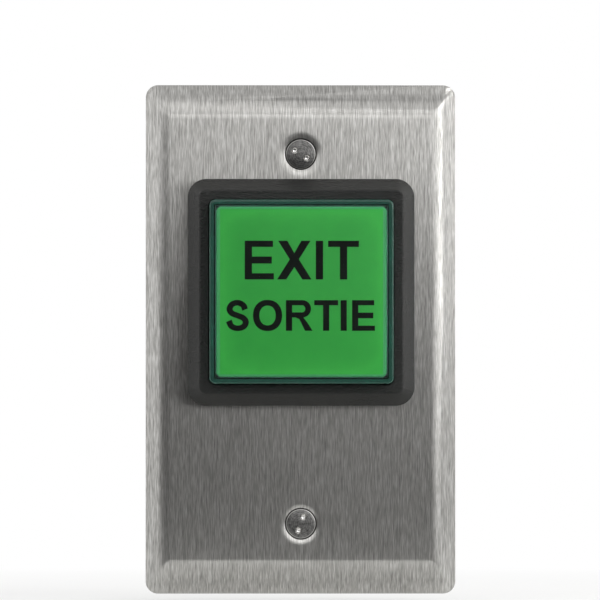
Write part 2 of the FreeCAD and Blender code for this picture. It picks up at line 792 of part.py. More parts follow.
def make_bezel_housing():
    body = new_body("bezel_housing")
    half, corner = "Places.bezel_half", "Sizes.bezel_corner"
    wall = "Sizes.bezel_rise - Sizes.bevel_depth"

    base = sketch_in(body, "bezel_outline", "XZ_Plane", "Places.plate_front")
    draw_rounded(base, half, half, corner)
    add_pad(body, base, wall, onwards=False)
    bevel = sketch_in(body, "bevel_outline", "XZ_Plane", f"Places.plate_front - ({wall})")
    draw_rounded(bevel, half, half, corner)
    add_pad(
        body, bevel, "Sizes.bevel_depth", onwards=False,
        taper="-atan(Sizes.bevel_width / Sizes.bevel_depth)",
    )
    add_chamfer(body, "bezel_edges", "Sizes.bezel_edge", "Places.bezel_front")

    well = sketch_in(body, "well", "XZ_Plane", "Places.bezel_front")
    draw_rounded(well, "Places.well_half", "Places.well_half", "Sizes.lens_corner + Sizes.well_gap")
    add_pocket(body, well, "Places.well_floor - Places.bezel_front")

    barrel = sketch_in(body, "barrel", "XZ_Plane", "Places.plate_front")
    draw_circle(barrel, "Places.barrel_half")
    add_pad(body, barrel, "Places.barrel_end - Places.plate_front")

    front_bore = sketch_in(body, "front_bore", "XZ_Plane", "Places.well_floor")
    draw_circle(front_bore, "Places.bore_half")
    add_pocket(body, front_bore, "Places.shelf_front - Places.well_floor")
    rear_bore = sketch_in(body, "rear_bore", "XZ_Plane", "Places.shelf_back")
    draw_circle(rear_bore, "Places.bore_half")
    add_pocket(body, rear_bore, "Places.barrel_end - Places.shelf_back")

    guide = sketch_in(body, "stem_guide", "XZ_Plane", "Places.shelf_front")
    draw_circle(guide, "Places.stem_half + Sizes.stem_gap")
    add_pocket(body, guide, "Sizes.shelf_thickness")
    slots = sketch_in(body, "leg_slots", "XZ_Plane", "Places.shelf_front")
    inner, outer = "(Places.leg_inner - Sizes.leg_gap)", "(Places.bore_half + Sizes.leg_gap / 3)"
    half_slot = "(Sizes.leg_width / 2 + Sizes.leg_gap)"
    draw_rectangle(slots, inner, outer, f"-{half_slot}", half_slot)
    draw_rectangle(slots, f"-{outer}", f"-{inner}", f"-{half_slot}", half_slot)
    add_pocket(body, slots, "Sizes.shelf_thickness")

    core = sketch_in(body, "underside_core", "XZ_Plane", "Places.plate_front")
    outside = f"{half} - Sizes.core_outer_wall"
    inside = "Places.well_half + Sizes.core_inner_wall"
    draw_rounded(core, outside, outside, "Sizes.bezel_corner - Sizes.core_outer_wall")
    draw_rounded(core, inside, inside, "Sizes.lens_corner + Sizes.well_gap + Sizes.core_inner_wall")
    add_pocket(body, core, "Sizes.core_depth", onwards=False)

    key = sketch_in(body, "key", "XZ_Plane", "Places.plate_front")
    draw_rectangle(
        key, "-Sizes.key_width / 2", "Sizes.key_width / 2",
        "Places.bore_half + Sizes.key_gap", "Places.barrel_half + Sizes.key_rise",
    )
    add_pad(body, key, "Sizes.sheet_thickness")

    gap_angle = "(Sizes.lug_slot_gap / Places.bore_half * 180 / pi)"
    slot_angle = f"(Sizes.lug_angle + 2 * {gap_angle})"
    front, back = "Places.lug_front - Sizes.lug_slot_gap", "Places.lug_back + Sizes.lug_slot_gap"
    entry = turned_slot(
        body, "lug_entry", "-90 + Sizes.lug_turn", slot_angle, front, "Places.barrel_end"
    )
    run = turned_slot(
        body, "lug_run", "-90 + Sizes.lug_turn / 2", f"{slot_angle} + Sizes.lug_turn", front, back
    )
    add_ring_of(body, "lug_slots", [entry, run], 2)
    keep_lifted("bezel_housing", body)


# Panel nut: flanged and ribbed, it clamps the plate against the bezel


def make_panel_nut():
    body = new_body("panel_nut")
    seat, end = "Places.plate_back", "Places.plate_back + Sizes.nut_depth"
    step = "Places.plate_back + Sizes.nut_flange_thickness"
    ring = sketch_in(body, "nut_ring", "XY_Plane")
    draw_outline(
        ring,
        (
            ("Places.nut_bore", seat),
            ("Places.nut_flange_half", seat),
            ("Places.nut_flange_half", step),
            ("Places.nut_half", step),
            ("Places.nut_half", end),
            ("Places.nut_bore", end),
        ),
    )
    add_turned(body, ring)
    rib = sketch_in(body, "grip_rib", "XZ_Plane", step)
    half = "Sizes.nut_rib_width / 2"
    base = "(Places.nut_bore + Places.nut_half) / 2"
    top = "Places.nut_half + Sizes.nut_rib_rise"
    draw_outline(rib, ((base, f"-{half}"), (top, f"-{half} / 2"), (top, f"{half} / 2"), (base, half)))
    pad = add_pad(body, rib, "Sizes.nut_depth - Sizes.nut_flange_thickness")
    add_ring_of(body, "grip_ribs", [pad], "Sizes.nut_rib_count")
    keep_lifted("panel_nut", body)


# The moving cap: clear lens, legend plate, diffuser, and the plunger that carries them


def make_lens_cap():
    body = new_body("lens_cap")
    half = "Sizes.lens_width / 2"
    outline = sketch_in(body, "lens_outline", "XZ_Plane", "Places.lens_front")
    draw_rounded(outline, half, half, "Sizes.lens_corner")
    add_pad(body, outline, "Places.lens_rim - Places.lens_front")
    add_chamfer(body, "lens_edges", "Sizes.lens_edge", "Places.lens_front")
    add_chamfer(body, "lens_edge_steps", "Sizes.lens_edge_step", "Places.lens_front")
    hollow = sketch_in(body, "lens_hollow", "XZ_Plane", "Places.lens_rim")
    inner = "Places.lens_inner_half"
    draw_rounded(hollow, inner, inner, "Sizes.lens_corner")
    add_pocket(body, hollow, "Places.lens_rim - Places.lens_inside", onwards=False)
    starts = {"right": "Places.lens_inner_half - Sizes.inlay_gap", "left": "-Sizes.lens_width / 2"}
    for side, start in starts.items():
        windows = sketch_in(body, f"{side}_windows", "YZ_Plane", start)
        for sign in (-1, 1):
            middle = f"{sign} * Sizes.catch_spacing / 2"
            reach = "(Sizes.catch_width / 2 + Sizes.catch_gap)"
            draw_rectangle(
                windows, "Places.catch_front - Sizes.catch_gap", "Places.tray_back + Sizes.catch_gap",
                f"{middle} - {reach}", f"{middle} + {reach}",
            )
        add_pocket(body, windows, "Sizes.lens_wall + Sizes.inlay_gap")
    keep_lifted("lens_cap", body)


def make_inlay(name, front, thickness):
    body = new_body(name)
    outline = sketch_in(body, name + "_outline", "XZ_Plane", front)
    draw_rounded(outline, "Places.inlay_half", "Places.inlay_half", "Places.inlay_corner")
    add_pad(body, outline, thickness)
    return body


def make_inlays():
    legend = make_inlay("legend_plate", "Places.lens_inside", "Sizes.legend_thickness")
    add_chamfer(legend, "legend_edges", "Sizes.legend_chamfer", "Places.lens_inside")
    keep_lifted("legend_plate", legend)
    keep_lifted("diffuser", make_inlay("diffuser", "Places.diffuser_front", "Sizes.diffuser_thickness"))


def make_plunger():
    body = new_body("plunger")
    half = "Places.inlay_half"
    tray = sketch_in(body, "tray", "XZ_Plane", "Places.tray_front")
    draw_rounded(tray, half, half, "Places.inlay_corner")
    add_pad(body, tray, "Sizes.tray_thickness")
    skirt = sketch_in(body, "skirt", "XZ_Plane", "Places.tray_back")
    draw_rounded(skirt, half, half, "Places.inlay_corner")
    draw_rectangle(
        skirt, f"Sizes.skirt_wall - {half}", f"{half} - Sizes.skirt_wall",
        f"Sizes.skirt_wall - {half}", f"{half} - Sizes.skirt_wall",
    )
    add_pad(body, skirt, "Places.lens_rim + Sizes.skirt_gap - Places.tray_back")
    stem = sketch_in(body, "stem", "XZ_Plane", "Places.tray_back")
    draw_circle(stem, "Places.stem_half")
    add_pad(body, stem, "Places.stem_end - Places.tray_back")

    catches = sketch_in(body, "catches", "XZ_Plane", "Places.catch_front")
    for side in (-1, 1):
        for sign in (-1, 1):
            middle = f"{sign} * Sizes.catch_spacing / 2"
            ends = sorted(
                (f"{side} * ({half} - Sizes.skirt_wall)", f"{side} * ({half} + Sizes.catch_rise)"),
                key=value,
            )
            draw_rectangle(
                catches, ends[0], ends[1],
                f"{middle} - Sizes.catch_width / 2", f"{middle} + Sizes.catch_width / 2",
            )
    add_pad(body, catches, "Sizes.catch_thickness")

    legs = sketch_in(body, "legs", "XZ_Plane", "Places.tray_back")
    reach = "(Sizes.leg_width / 2)"
    draw_rectangle(legs, "Places.leg_inner", "Places.leg_outer", f"-{reach}", reach)
    draw_rectangle(legs, "-Places.leg_outer", "-Places.leg_inner", f"-{reach}", reach)
    add_pad(body, legs, "Places.barb_end - Places.tray_back")
    for side, start in (("right", "Places.leg_inner"), ("left", "-Places.leg_outer")):
        barbs = sketch_in(body, f"{side}_barbs", "YZ_Plane", start)
        for sign in (-1, 1):
            draw_outline(
                barbs,
                (
                    ("Places.barb_front", f"{sign} * {reach} / 2"),
                    ("Places.barb_front", f"{sign} * ({reach} + Sizes.barb_rise)"),
                    ("Places.barb_end", f"{sign} * ({reach} - Sizes.barb_rise / 4)"),
                    ("Places.barb_end", f"{sign} * {reach} / 2"),
                ),
            )
        add_pad(body, barbs, "Sizes.leg_thickness")
    prongs = sketch_in(body, "prong_gap", "YZ_Plane", "-Places.leg_outer")
    draw_rectangle(
        prongs, "Places.barb_end - Sizes.prong_length", "Places.barb_end",
        "-Sizes.prong_gap / 2", "Sizes.prong_gap / 2",
    )
    add_pocket(body, prongs, "Sizes.leg_thickness")
    pusher = sketch_in(body, "pusher", "YZ_Plane", "Places.leg_inner")
    width = "(Sizes.pusher_width / 2)"
    draw_outline(
        pusher,
        (
            ("Places.barb_front", f"-{width}"),
            (f"Places.pusher_end - {width}", f"-{width}", width),
            ("Places.pusher_end", "0", width),
            (f"Places.pusher_end - {width}", width),
            ("Places.barb_front", width),
        ),
    )
    add_pad(body, pusher, "Sizes.leg_thickness")

    bore = sketch_in(body, "stem_bore", "XZ_Plane", "Places.tray_front")
    draw_circle(bore, "Places.stem_bore_half")
    add_pocket(body, bore, "Places.stem_end - Places.tray_front")
    keep_lifted("plunger", body)


def make_return_spring():
    """A coil in straight steps, with a six-sided wire that is mitred at every step."""
    steps = int(value("Sizes.steps_a_turn"))
    count = steps * int(value("Sizes.spring_turns"))
    radius, front = value("Places.spring_radius"), value("Places.spring_front")
    rise = (value("Places.spring_back") - front) / count
    corners = []
    for i in range(count + 1):
        angle = 2 * math.pi * i / steps
        corners.append(
            FreeCAD.Vector(radius * math.cos(angle), front + rise * i, radius * math.sin(angle))
        )
    line = doc.addObject("Part::Polygon", "spring_line")
    line.Nodes = corners
    wire = doc.addObject("Part::RegularPolygon", "spring_section")
    wire.Polygon = 6
    wire.setExpression("Circumradius", "Sizes.spring_wire / 2")
    wire.Placement = FreeCAD.Placement(corners[0], FreeCAD.Rotation(Z, corners[1] - corners[0]))
    spring = doc.addObject("Part::Sweep", "return_spring")
    spring.Sections = [wire]
    spring.Spine = (line, [])
    spring.Solid = True
    spring.Transition = "Right corner"
    keep_lifted("return_spring", spring)


# Lamp holder: a bayonet flange at the barrel's rear, with the lamp post and the switch web


def make_lamp_holder():
    body = new_body("lamp_holder")
    flange = sketch_in(body, "flange", "XZ_Plane", "Places.flange_front")
    draw_circle(flange, "Places.flange_half")
    add_pad(body, flange, "Sizes.flange_thickness")
    boss = sketch_in(body, "boss", "XZ_Plane", "Places.flange_front")
    draw_circle(boss, "Places.boss_half")
    add_pad(body, boss, "Sizes.boss_length", onwards=False)
    post = sketch_in(body, "post", "XZ_Plane", "Sizes.post_front")
    draw_circle(post, "Places.post_half")
    add_pad(body, post, "Places.flange_back + Sizes.post_rear_length - Sizes.post_front")

    lug = sketch_in(body, "lug", "XY_Plane")
    lug.AttachmentOffset = FreeCAD.Placement(FreeCAD.Vector(), FreeCAD.Rotation(Y, -90))
    draw_rectangle(
        lug, "Places.post_half", "Places.lug_half",
        "Places.lug_front", "Places.lug_back",
    )
    turned = add_turned(body, lug, "Sizes.lug_angle * 1deg")
    add_ring_of(body, "lugs", [turned], 2)

    opening = sketch_in(body, "leg_opening", "XZ_Plane", "Places.boss_front")
    reach = "(Sizes.leg_width / 2 + Sizes.leg_opening_gap)"
    draw_rectangle(
        opening, "Places.leg_inner - Sizes.leg_opening_gap", "Places.leg_outer + Sizes.leg_opening_gap",
        f"-{reach}", reach,
    )
    add_pocket(body, opening, "Places.flange_back - Places.boss_front")

    socket = sketch_in(body, "lamp_slot", "XZ_Plane", "Sizes.post_front")
    wide = "(Sizes.lamp_base_width / 2 + Sizes.lamp_slot_gap)"
    high = "(Sizes.lamp_base_thickness / 2 + Sizes.lamp_slot_gap)"
    draw_rectangle(socket, f"-{wide}", wide, f"-{high}", high)
    add_pocket(body, socket, "Places.lamp_base_end + Sizes.lamp_slot_gap - Sizes.post_front")
    reach = "(Sizes.lamp_blade_width / 2 + Sizes.blade_slot_gap)"
    for side, sign in (("left", 1), ("right", -1)):
        slot = sketch_in(body, f"{side}_blade_slot", "XZ_Plane", "Sizes.post_front")
        middle = f"{-sign} * Sizes.lamp_blade_offset"
        ends = sorted(
            (f"{sign} * Sizes.lamp_base_thickness / 4",
             f"{sign} * (Places.lamp_blade_inner + Sizes.lamp_blade_thickness + Sizes.blade_slot_gap)"),
            key=value,
        )
        draw_rectangle(slot, f"{middle} - {reach}", f"{middle} + {reach}", ends[0], ends[1])
        add_pocket(body, slot, "Places.flange_back + Sizes.post_rear_length - Sizes.post_front")

    web = sketch_in(body, "web", "YZ_Plane", "Places.web_left")
    draw_outline(
        web,
        (
            ("Places.flange_back", "Places.switch_low + Sizes.switch_wall / 2"),
            ("Places.switch_back", "Places.switch_low + Sizes.switch_wall / 2"),
            ("Places.switch_back", "Places.switch_high - Sizes.switch_wall / 2"),
            ("Places.switch_front", "Places.switch_high - Sizes.switch_wall / 2"),
            ("Places.flange_back", "Places.boss_half"),
        ),
    )
    add_pad(body, web, "Sizes.web_thickness")
    peg_places = (
        ("Places.upper_peg_depth", "Places.upper_peg_height"),
        ("Places.lower_peg_depth", "Places.lower_peg_height"),
    )
    pegs = sketch_in(body, "pegs", "YZ_Plane", "Places.web_right")
    beads = sketch_in(body, "peg_beads", "YZ_Plane", "Places.switch_right + Sizes.peg_gap")
    for depth, height in peg_places:
        draw_circle(pegs, "Sizes.peg_width / 2", depth, height)
        draw_circle(beads, "Sizes.peg_width / 2 + Sizes.peg_bead", depth, height)
    add_pad(body, pegs, "Places.switch_right + Sizes.peg_gap + Sizes.peg_end - Places.web_right")
    add_pad(body, beads, "Sizes.peg_end")
    keep_lifted("lamp_holder", body)


def make_lamp():
    base = new_body("led_lamp_base")
    wedge = sketch_in(base, "wedge", "XZ_Plane", "Places.lamp_seat")
    draw_rectangle(
        wedge, "-Sizes.lamp_base_width / 2", "Sizes.lamp_base_width / 2",
        "-Sizes.lamp_base_thickness / 2", "Sizes.lamp_base_thickness / 2",
    )
    add_pad(base, wedge, "Sizes.lamp_base_length")
    collar = sketch_in(base, "lamp_collar", "XZ_Plane", "Places.lamp_seat")
    draw_circle(collar, "Sizes.lamp_width / 2")
    add_pad(base, collar, "Sizes.lamp_collar", onwards=False)
    keep_lifted("led_lamp_base", base)

    dome = new_body("led_lamp_dome")
    seat = "Places.lamp_seat - Sizes.lamp_collar"
    shoulder, radius = f"{seat} - Sizes.lamp_barrel", "Sizes.lamp_width / 2"
    rounds = [
        (f"{radius} * sin({angle}deg)", f"{shoulder} - {radius} * cos({angle}deg)")
        for angle in (45, 90)
    ]
    profile = sketch_in(dome, "dome_profile", "XY_Plane")
    draw_outline(profile, (("0", rounds[0][1]), *rounds, (radius, seat), ("0", seat)))
    add_turned(dome, profile)
    keep_lifted("led_lamp_dome", dome)

    leads, blades = [], []
    for side, sign in (("left", 1), ("right", -1)):
        middle = f"{-sign} * Sizes.lamp_blade_offset"
        leads.append(
            six_sided(
                f"{side}_lead", "y", "Sizes.lead_width / 2", "Places.lamp_seat + Sizes.lead_width",
                "Places.lamp_base_end", (middle, f"{sign} * Places.lead_middle"),
            )
        )
        ends = sorted(
            (f"{sign} * Places.lamp_blade_inner",
             f"{sign} * (Places.lamp_blade_inner + Sizes.lamp_blade_thickness)"),
            key=value,
        )
        reach = "(Sizes.lamp_blade_width / 2)"
        blades.append(
            slab(
                f"{side}_lamp_blade", "XY_Plane", ends[0], ends[1],
                (
                    (f"{middle} - {reach}", "Places.lamp_base_end - Sizes.lamp_base_length / 2"),
                    (f"{middle} + {reach}", "Places.lamp_base_end - Sizes.lamp_base_length / 2"),
                    (f"{middle} + {reach}", "Sizes.lamp_blade_reach - Sizes.terminal_tip"),
                    (f"{middle} + {reach} / 2", "Sizes.lamp_blade_reach"),
                    (f"{middle} - {reach} / 2", "Sizes.lamp_blade_reach"),
                    (f"{middle} - {reach}", "Sizes.lamp_blade_reach - Sizes.terminal_tip"),
                ),
            )
        )
    keep_lifted("lamp_leads", group("lamp_leads", leads))
    keep_lifted("lamp_terminals", group("lamp_terminals", blades))


# Snap switch: case, cover, lever, pin, and the contact set inside


def make_switch_case():
    outside = block(
        "case_outside", "Places.switch_left", "Places.cover_left",
        "Places.switch_front", "Places.switch_back", "Places.switch_low", "Places.switch_high",
    )
    cavity = block(
        "case_cavity", "Places.cavity_left", "Places.switch_right",
        "Places.cavity_front", "Places.cavity_back",
        "Places.switch_low + Sizes.switch_wall", "Places.switch_high - Sizes.switch_wall",
    )
    peg_places = (
        ("upper", "Places.upper_peg_depth", "Places.upper_peg_height"),
        ("lower", "Places.lower_peg_depth", "Places.lower_peg_height"),
    )
    bosses = [
        rod(
            f"{side}_peg_boss", "x", "Sizes.peg_boss_width / 2", "Places.switch_left",
            "Places.cover_left", (depth, height),
        )
        for side, depth, height in peg_places
    ]
    fulcrum = block(
        "fulcrum", "Places.switch_middle - Sizes.lever_width / 4",
        "Places.switch_middle + Sizes.lever_width / 4", "Places.pivot_depth",
        "Places.switch_front + Sizes.switch_wall", "Sizes.lever_arm - Sizes.pivot_width / 2",
        "Sizes.lever_arm + Sizes.pivot_width / 2",
    )
    pivot = rod(
        "lever_pivot", "x", "Sizes.pivot_width / 2", "Places.switch_middle - Sizes.lever_width / 2",
        "Places.switch_middle + Sizes.lever_width / 2", ("Places.pivot_depth", "Sizes.lever_arm"),
    )
    walls = combine(
        "MultiFuse", "case_walls",
        [cut("case_shell", outside, [cavity]), fulcrum, pivot] + bosses,
    )
    holes = [
        rod(
            f"{side}_peg_hole", "x", "Sizes.peg_width / 2 + Sizes.peg_gap", "Places.web_right",
            "Places.switch_right", (depth, height),
        )
        for side, depth, height in peg_places
    ]
    holes.append(
        rod(
            "pin_hole", "y", "Sizes.pin_width / 2 + Sizes.pin_bore_gap",
            "Places.switch_front - Sizes.switch_wall / 4", "Places.cavity_front + Sizes.switch_wall / 4",
            ("Places.switch_middle", "Places.pin_height"),
        )
    )
    half = "(Sizes.terminal_thickness / 2 + Sizes.terminal_slot_gap)"
    reach = "(Sizes.terminal_width / 2 + Sizes.terminal_slot_gap)"
    for name in ("common", "open", "closed"):
        middle = f"Sizes.{name}_place"
        holes.append(
            block(
                f"{name}_slot", f"Places.switch_middle - {half}", f"Places.switch_middle + {half}",
                "Places.cavity_back - Sizes.switch_wall / 4", "Places.terminal_end",
                f"{middle} - {reach}", f"{middle} + {reach}",
            )
        )
    keep_lifted("switch_case", cut("switch_case", walls, holes))


def make_switch_cover():
    holes = [
        ("Sizes.peg_width / 2 + Sizes.peg_gap", "Places.upper_peg_depth", "Places.upper_peg_height"),
        ("Sizes.peg_width / 2 + Sizes.peg_gap", "Places.lower_peg_depth", "Places.lower_peg_height"),
    ]
    front, back = "Places.switch_front", "Places.switch_back"
    low, high = "Places.switch_low", "Places.switch_high"
    corners = ((front, low), (back, low), (back, high), (front, high))
    cover = slab("switch_cover", "YZ_Plane", "Places.cover_left", "Places.switch_right", corners, holes)
    keep_lifted("switch_cover", cover)


def make_switch_lever():
    """Made about its pivot with the strip upright, then leant to its rest angle."""
    half = "Sizes.lever_width / 2"
    front = "-(Sizes.lever_offset + Sizes.lever_thickness / 2)"
    back = "-(Sizes.lever_offset - Sizes.lever_thickness / 2)"
    end = "-(Sizes.lever_arm + Sizes.lever_overhang)"
    strip = block("lever_strip", f"-{half}", half, front, back, end, "Sizes.ear_width / 2")
    ears = []
    for side, sign in (("left", -1), ("right", 1)):
        edges = sorted((f"{sign} * ({half})", f"{sign} * ({half} - Sizes.lever_thickness)"), key=value)
        ears.append(
            block(
                f"{side}_ear", edges[0], edges[1], back, "0",
                "-Sizes.ear_width / 2", "Sizes.ear_width / 2",
            )
        )
        ears.append(rod(f"{side}_ear_end", "x", "Sizes.ear_width / 2", edges[0], edges[1]))
    bore = rod(
        "lever_bore", "x", "Sizes.pivot_width / 2 + Sizes.pivot_gap", f"-{half}", half
    )
    lever = cut("switch_lever", combine("MultiFuse", "lever_blank", [strip] + ears), [bore])
    lever.Placement = FreeCAD.Placement(
        FreeCAD.Vector(), FreeCAD.Rotation(X, -value("Sizes.lever_tilt"))
    )
    lever.setExpression("Placement.Rotation.Angle", "-Sizes.lever_tilt * 1deg")
    lever.setExpression("Placement.Base.x", "Places.switch_middle")
    lever.setExpression("Placement.Base.y", "Places.pivot_depth")
    keep_lifted("switch_lever", lever, "Sizes.lever_arm")


def make_switch_pin():
    body = new_body("switch_pin")
    profile = sketch_in(body, "pin_profile", "XY_Plane")
    collar_back = "Places.collar_front + Sizes.pin_collar_thickness"
    draw_outline(
        profile,
        (
            ("0", "Places.pin_top"),
            ("Sizes.pin_crown_width / 2", "Places.pin_top"),
            ("Sizes.pin_width / 2", "Places.pin_top + Sizes.pin_dome"),
            ("Sizes.pin_width / 2", "Places.collar_front"),
            ("Sizes.pin_collar_width / 2", "Places.collar_front"),
            ("Sizes.pin_collar_width / 2", collar_back),
            ("Sizes.pin_foot_width / 2", collar_back),
            ("Sizes.pin_foot_width / 2", "Places.foot_end"),
            ("0", "Places.foot_end"),
        ),
    )
    add_turned(body, profile)
    body.setExpression("Placement.Base.x", "Places.switch_middle")
    keep_lifted("switch_pin", body, "Places.pin_height")


def make_contact_blade():
    half = "Sizes.blade_width / 2"
    strip = block(
        "blade_strip", f"Places.switch_middle - {half}", f"Places.switch_middle + {half}",
        "Places.blade_front", "Places.blade_back", "Sizes.blade_tip", "Places.blade_high",
    )
    rivet = rod(
        "blade_contact", "y", "Sizes.contact_width / 2",
        "Places.blade_front - Sizes.contact_height", "Places.blade_back + Sizes.contact_height",
        ("Places.switch_middle", "Sizes.contact_place"),
    )
    window = block(
        "blade_window", "Places.switch_middle - Sizes.window_width / 2",
        "Places.switch_middle + Sizes.window_width / 2",
        "Places.blade_front - Sizes.contact_height", "Places.blade_back + Sizes.contact_height",
        "Places.pin_height - Sizes.window_length / 2", "Places.pin_height + Sizes.window_length / 2",
    )
    blank = combine("MultiFuse", "blade_blank", [strip, rivet])
    keep_lifted("contact_blade", cut("contact_blade", blank, [window]))


def make_snap_spring():
    foot, middle = "Places.arch_foot", "Places.pin_height"
    inner = "Places.arch_inner_half"
    arch = slab(
        "snap_spring", "YZ_Plane",
        "Places.switch_middle - Sizes.arch_width / 2", "Places.switch_middle + Sizes.arch_width / 2",
        (
            (foot, f"{middle} - Sizes.arch_span / 2", "-Places.arch_round"),
            (foot, f"{middle} + Sizes.arch_span / 2"),
            (foot, f"{middle} + {inner}", "Places.arch_round - Sizes.arch_thickness"),
            (foot, f"{middle} - {inner}"),
        ),
    )
    keep_lifted("snap_spring", arch)


def blade_outline(middle, start):
    """A spade terminal that leaves the case's rear, from a place inside it."""
    reach = "(Sizes.terminal_width / 2)"
    low, high = f"{middle} - {reach}", f"{middle} + {reach}"
    tip = "Places.terminal_end - Sizes.terminal_tip"
    return (
        (start, low),
        (tip, low),
        ("Places.terminal_end", f"{low} + Sizes.terminal_tip"),
        ("Places.terminal_end", f"{high} - Sizes.terminal_tip"),
        (tip, high),
        (start, high),
    )


def make_terminal(name, place, outline, arm_ends, arm_reach, contact=None):
    """A stamped terminal: its blade, the arm turned out of it, and its contact."""
    half = "Sizes.terminal_thickness / 2"
    blade = slab(
        name + "_blade", "YZ_Plane",
        f"Places.switch_middle - {half}", f"Places.switch_middle + {half}", outline,
        [("Sizes.terminal_hole / 2", "Places.terminal_hole_depth", place)],
    )
    arm = block(
        name + "_arm", "Places.switch_middle - Sizes.arm_width / 2",
        "Places.switch_middle + Sizes.arm_width / 2",
        arm_ends[0], arm_ends[1], arm_reach[0], arm_reach[1],
    )
    members = [blade, arm]
    if contact:
        members.append(
            rod(
                name + "_contact", "y", "Sizes.contact_width / 2", contact[0], contact[1],
                ("Places.switch_middle", "Sizes.contact_place"),
            )
        )
    keep_lifted(name, combine("MultiFuse", name, members))


def make_terminals():
    half = "Sizes.terminal_width / 2"
    make_terminal(
        "terminal_common", "Sizes.common_place",
        blade_outline("Sizes.common_place", "Places.common_arm_front"),
        ("Places.common_arm_front", "Places.common_arm_back"),
        ("Places.blade_pivot_height - Sizes.blade_root", f"Sizes.common_place + {half}"),
    )
    make_terminal(
        "terminal_normally_open", "Sizes.open_place",
        blade_outline("Sizes.open_place", "Places.open_arm_front"),
        ("Places.open_arm_front", "Places.open_arm_back"),
        ("Sizes.blade_tip", f"Sizes.open_place + {half}"),
        ("Places.open_contact", "Places.open_arm_front"),
    )
    low = f"Sizes.closed_place - {half}"
    riser = f"{low} + Sizes.riser_width"
    start = "Places.open_arm_back + Sizes.arm_thickness"
    outline = blade_outline("Sizes.closed_place", start)
    stepped = (("Places.closed_arm_front", low),) + outline[1:]
    stepped += ((start, riser), ("Places.closed_arm_front", riser))
    make_terminal(
        "terminal_normally_closed", "Sizes.closed_place", stepped,
        ("Places.closed_arm_front", "Places.closed_arm_back"),
        (low, "Sizes.contact_place + Sizes.contact_width / 2"),
        ("Places.closed_arm_back", "Places.closed_contact"),
    )


make_faceplate()
make_plate_screws()
make_bezel_housing()
make_panel_nut()
make_lens_cap()
make_inlays()
make_plunger()
make_return_spring()
make_lamp_holder()
make_lamp()
make_switch_case()
make_switch_cover()
make_switch_lever()
make_switch_pin()
make_contact_blade()
make_snap_spring()
make_terminals()
doc.recompute()

for item in doc.Objects:
    if {"Invalid", "Error"} & set(item.State):
        raise RuntimeError(f"{item.Label} did not build: {item.State}")
for name, item in nodes:
    if item.Shape.isNull() or not item.Shape.isValid():
        raise RuntimeError(f"{name} has no valid shape")

os.makedirs("parts", exist_ok=True)
for name, item in nodes:
    item.Shape.exportStep(f"parts/{name}.step")
    box = item.Shape.BoundBox
    print(
        f"{name}: {len(item.Shape.Solids)} solid, {item.Shape.Volume:.1f} mm3,"
        f" x {box.XMin:.2f} to {box.XMax:.2f}, y {box.YMin:.2f} to {box.YMax:.2f},"
        f" z {box.ZMin:.2f} to {box.ZMax:.2f}"
    )
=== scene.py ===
import json
import math

import bmesh
import bpy
from mathutils import Matrix, Vector


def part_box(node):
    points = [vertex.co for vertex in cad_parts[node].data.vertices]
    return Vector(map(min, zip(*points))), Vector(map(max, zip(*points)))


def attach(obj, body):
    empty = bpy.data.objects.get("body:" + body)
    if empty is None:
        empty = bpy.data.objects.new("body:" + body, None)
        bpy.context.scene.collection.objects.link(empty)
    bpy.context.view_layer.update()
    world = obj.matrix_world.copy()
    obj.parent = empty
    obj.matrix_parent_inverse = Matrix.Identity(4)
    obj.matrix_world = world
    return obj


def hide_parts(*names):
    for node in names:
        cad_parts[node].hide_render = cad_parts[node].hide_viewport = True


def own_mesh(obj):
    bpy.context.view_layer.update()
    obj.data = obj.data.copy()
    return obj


# Door exit button on a brushed steel wall plate. Metres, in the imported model's frame:
# the front faces -Y, +X is to the right and +Z is up.

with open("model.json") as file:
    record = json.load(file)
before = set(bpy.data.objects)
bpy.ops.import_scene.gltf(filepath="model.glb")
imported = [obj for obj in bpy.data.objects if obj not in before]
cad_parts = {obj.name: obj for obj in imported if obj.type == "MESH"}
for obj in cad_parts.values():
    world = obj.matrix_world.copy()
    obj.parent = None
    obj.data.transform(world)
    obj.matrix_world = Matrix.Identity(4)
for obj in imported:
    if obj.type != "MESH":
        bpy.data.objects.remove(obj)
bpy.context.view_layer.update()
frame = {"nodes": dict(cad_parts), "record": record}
MM = 0.001

PLATE_LOW, PLATE_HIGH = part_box("faceplate")
LENS_LOW, LENS_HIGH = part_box("lens_cap")
LEGEND_LOW, LEGEND_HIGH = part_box("legend_plate")
_, NUT_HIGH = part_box("panel_nut")
SPRING_LOW, SPRING_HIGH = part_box("return_spring")
ARCH_LOW, ARCH_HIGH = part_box("snap_spring")
SCREW_LOW, SCREW_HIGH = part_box("plate_screws")
DOME_LOW, DOME_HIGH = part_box("led_lamp_dome")
BUTTON_HEIGHT = (LENS_LOW.z + LENS_HIGH.z) / 2
LENS_WALL = 1.4 * MM
HEAD_HALF, PIT_HALF, PIT_SPACING, PIT_DEPTH = 3.5 * MM, 0.8 * MM, 3.25 * MM, 0.8 * MM
WHITE = (1.0, 1.0, 1.0, 1.0)

# Shader wiring


class Wire:
    """One output of a shader node. Sums and products of wires add Math nodes."""

    def __init__(self, shading, socket):
        self.shading, self.socket = shading, socket

    def __add__(self, other):
        return self.shading.math_of("ADD", self, other)

    def __sub__(self, other):
        return self.shading.math_of("SUBTRACT", self, other)

    def __rsub__(self, other):
        return self.shading.math_of("SUBTRACT", other, self)

    def __mul__(self, other):
        return self.shading.math_of("MULTIPLY", self, other)

    def __pow__(self, other):
        return self.shading.math_of("POWER", self, other)

    __radd__, __rmul__ = __add__, __mul__

    def apart(self):
        """The three parts of a vector."""
        split = self.shading.node("ShaderNodeSeparateXYZ", {}, {0: self}).socket.node
        return [Wire(self.shading, socket) for socket in split.outputs]


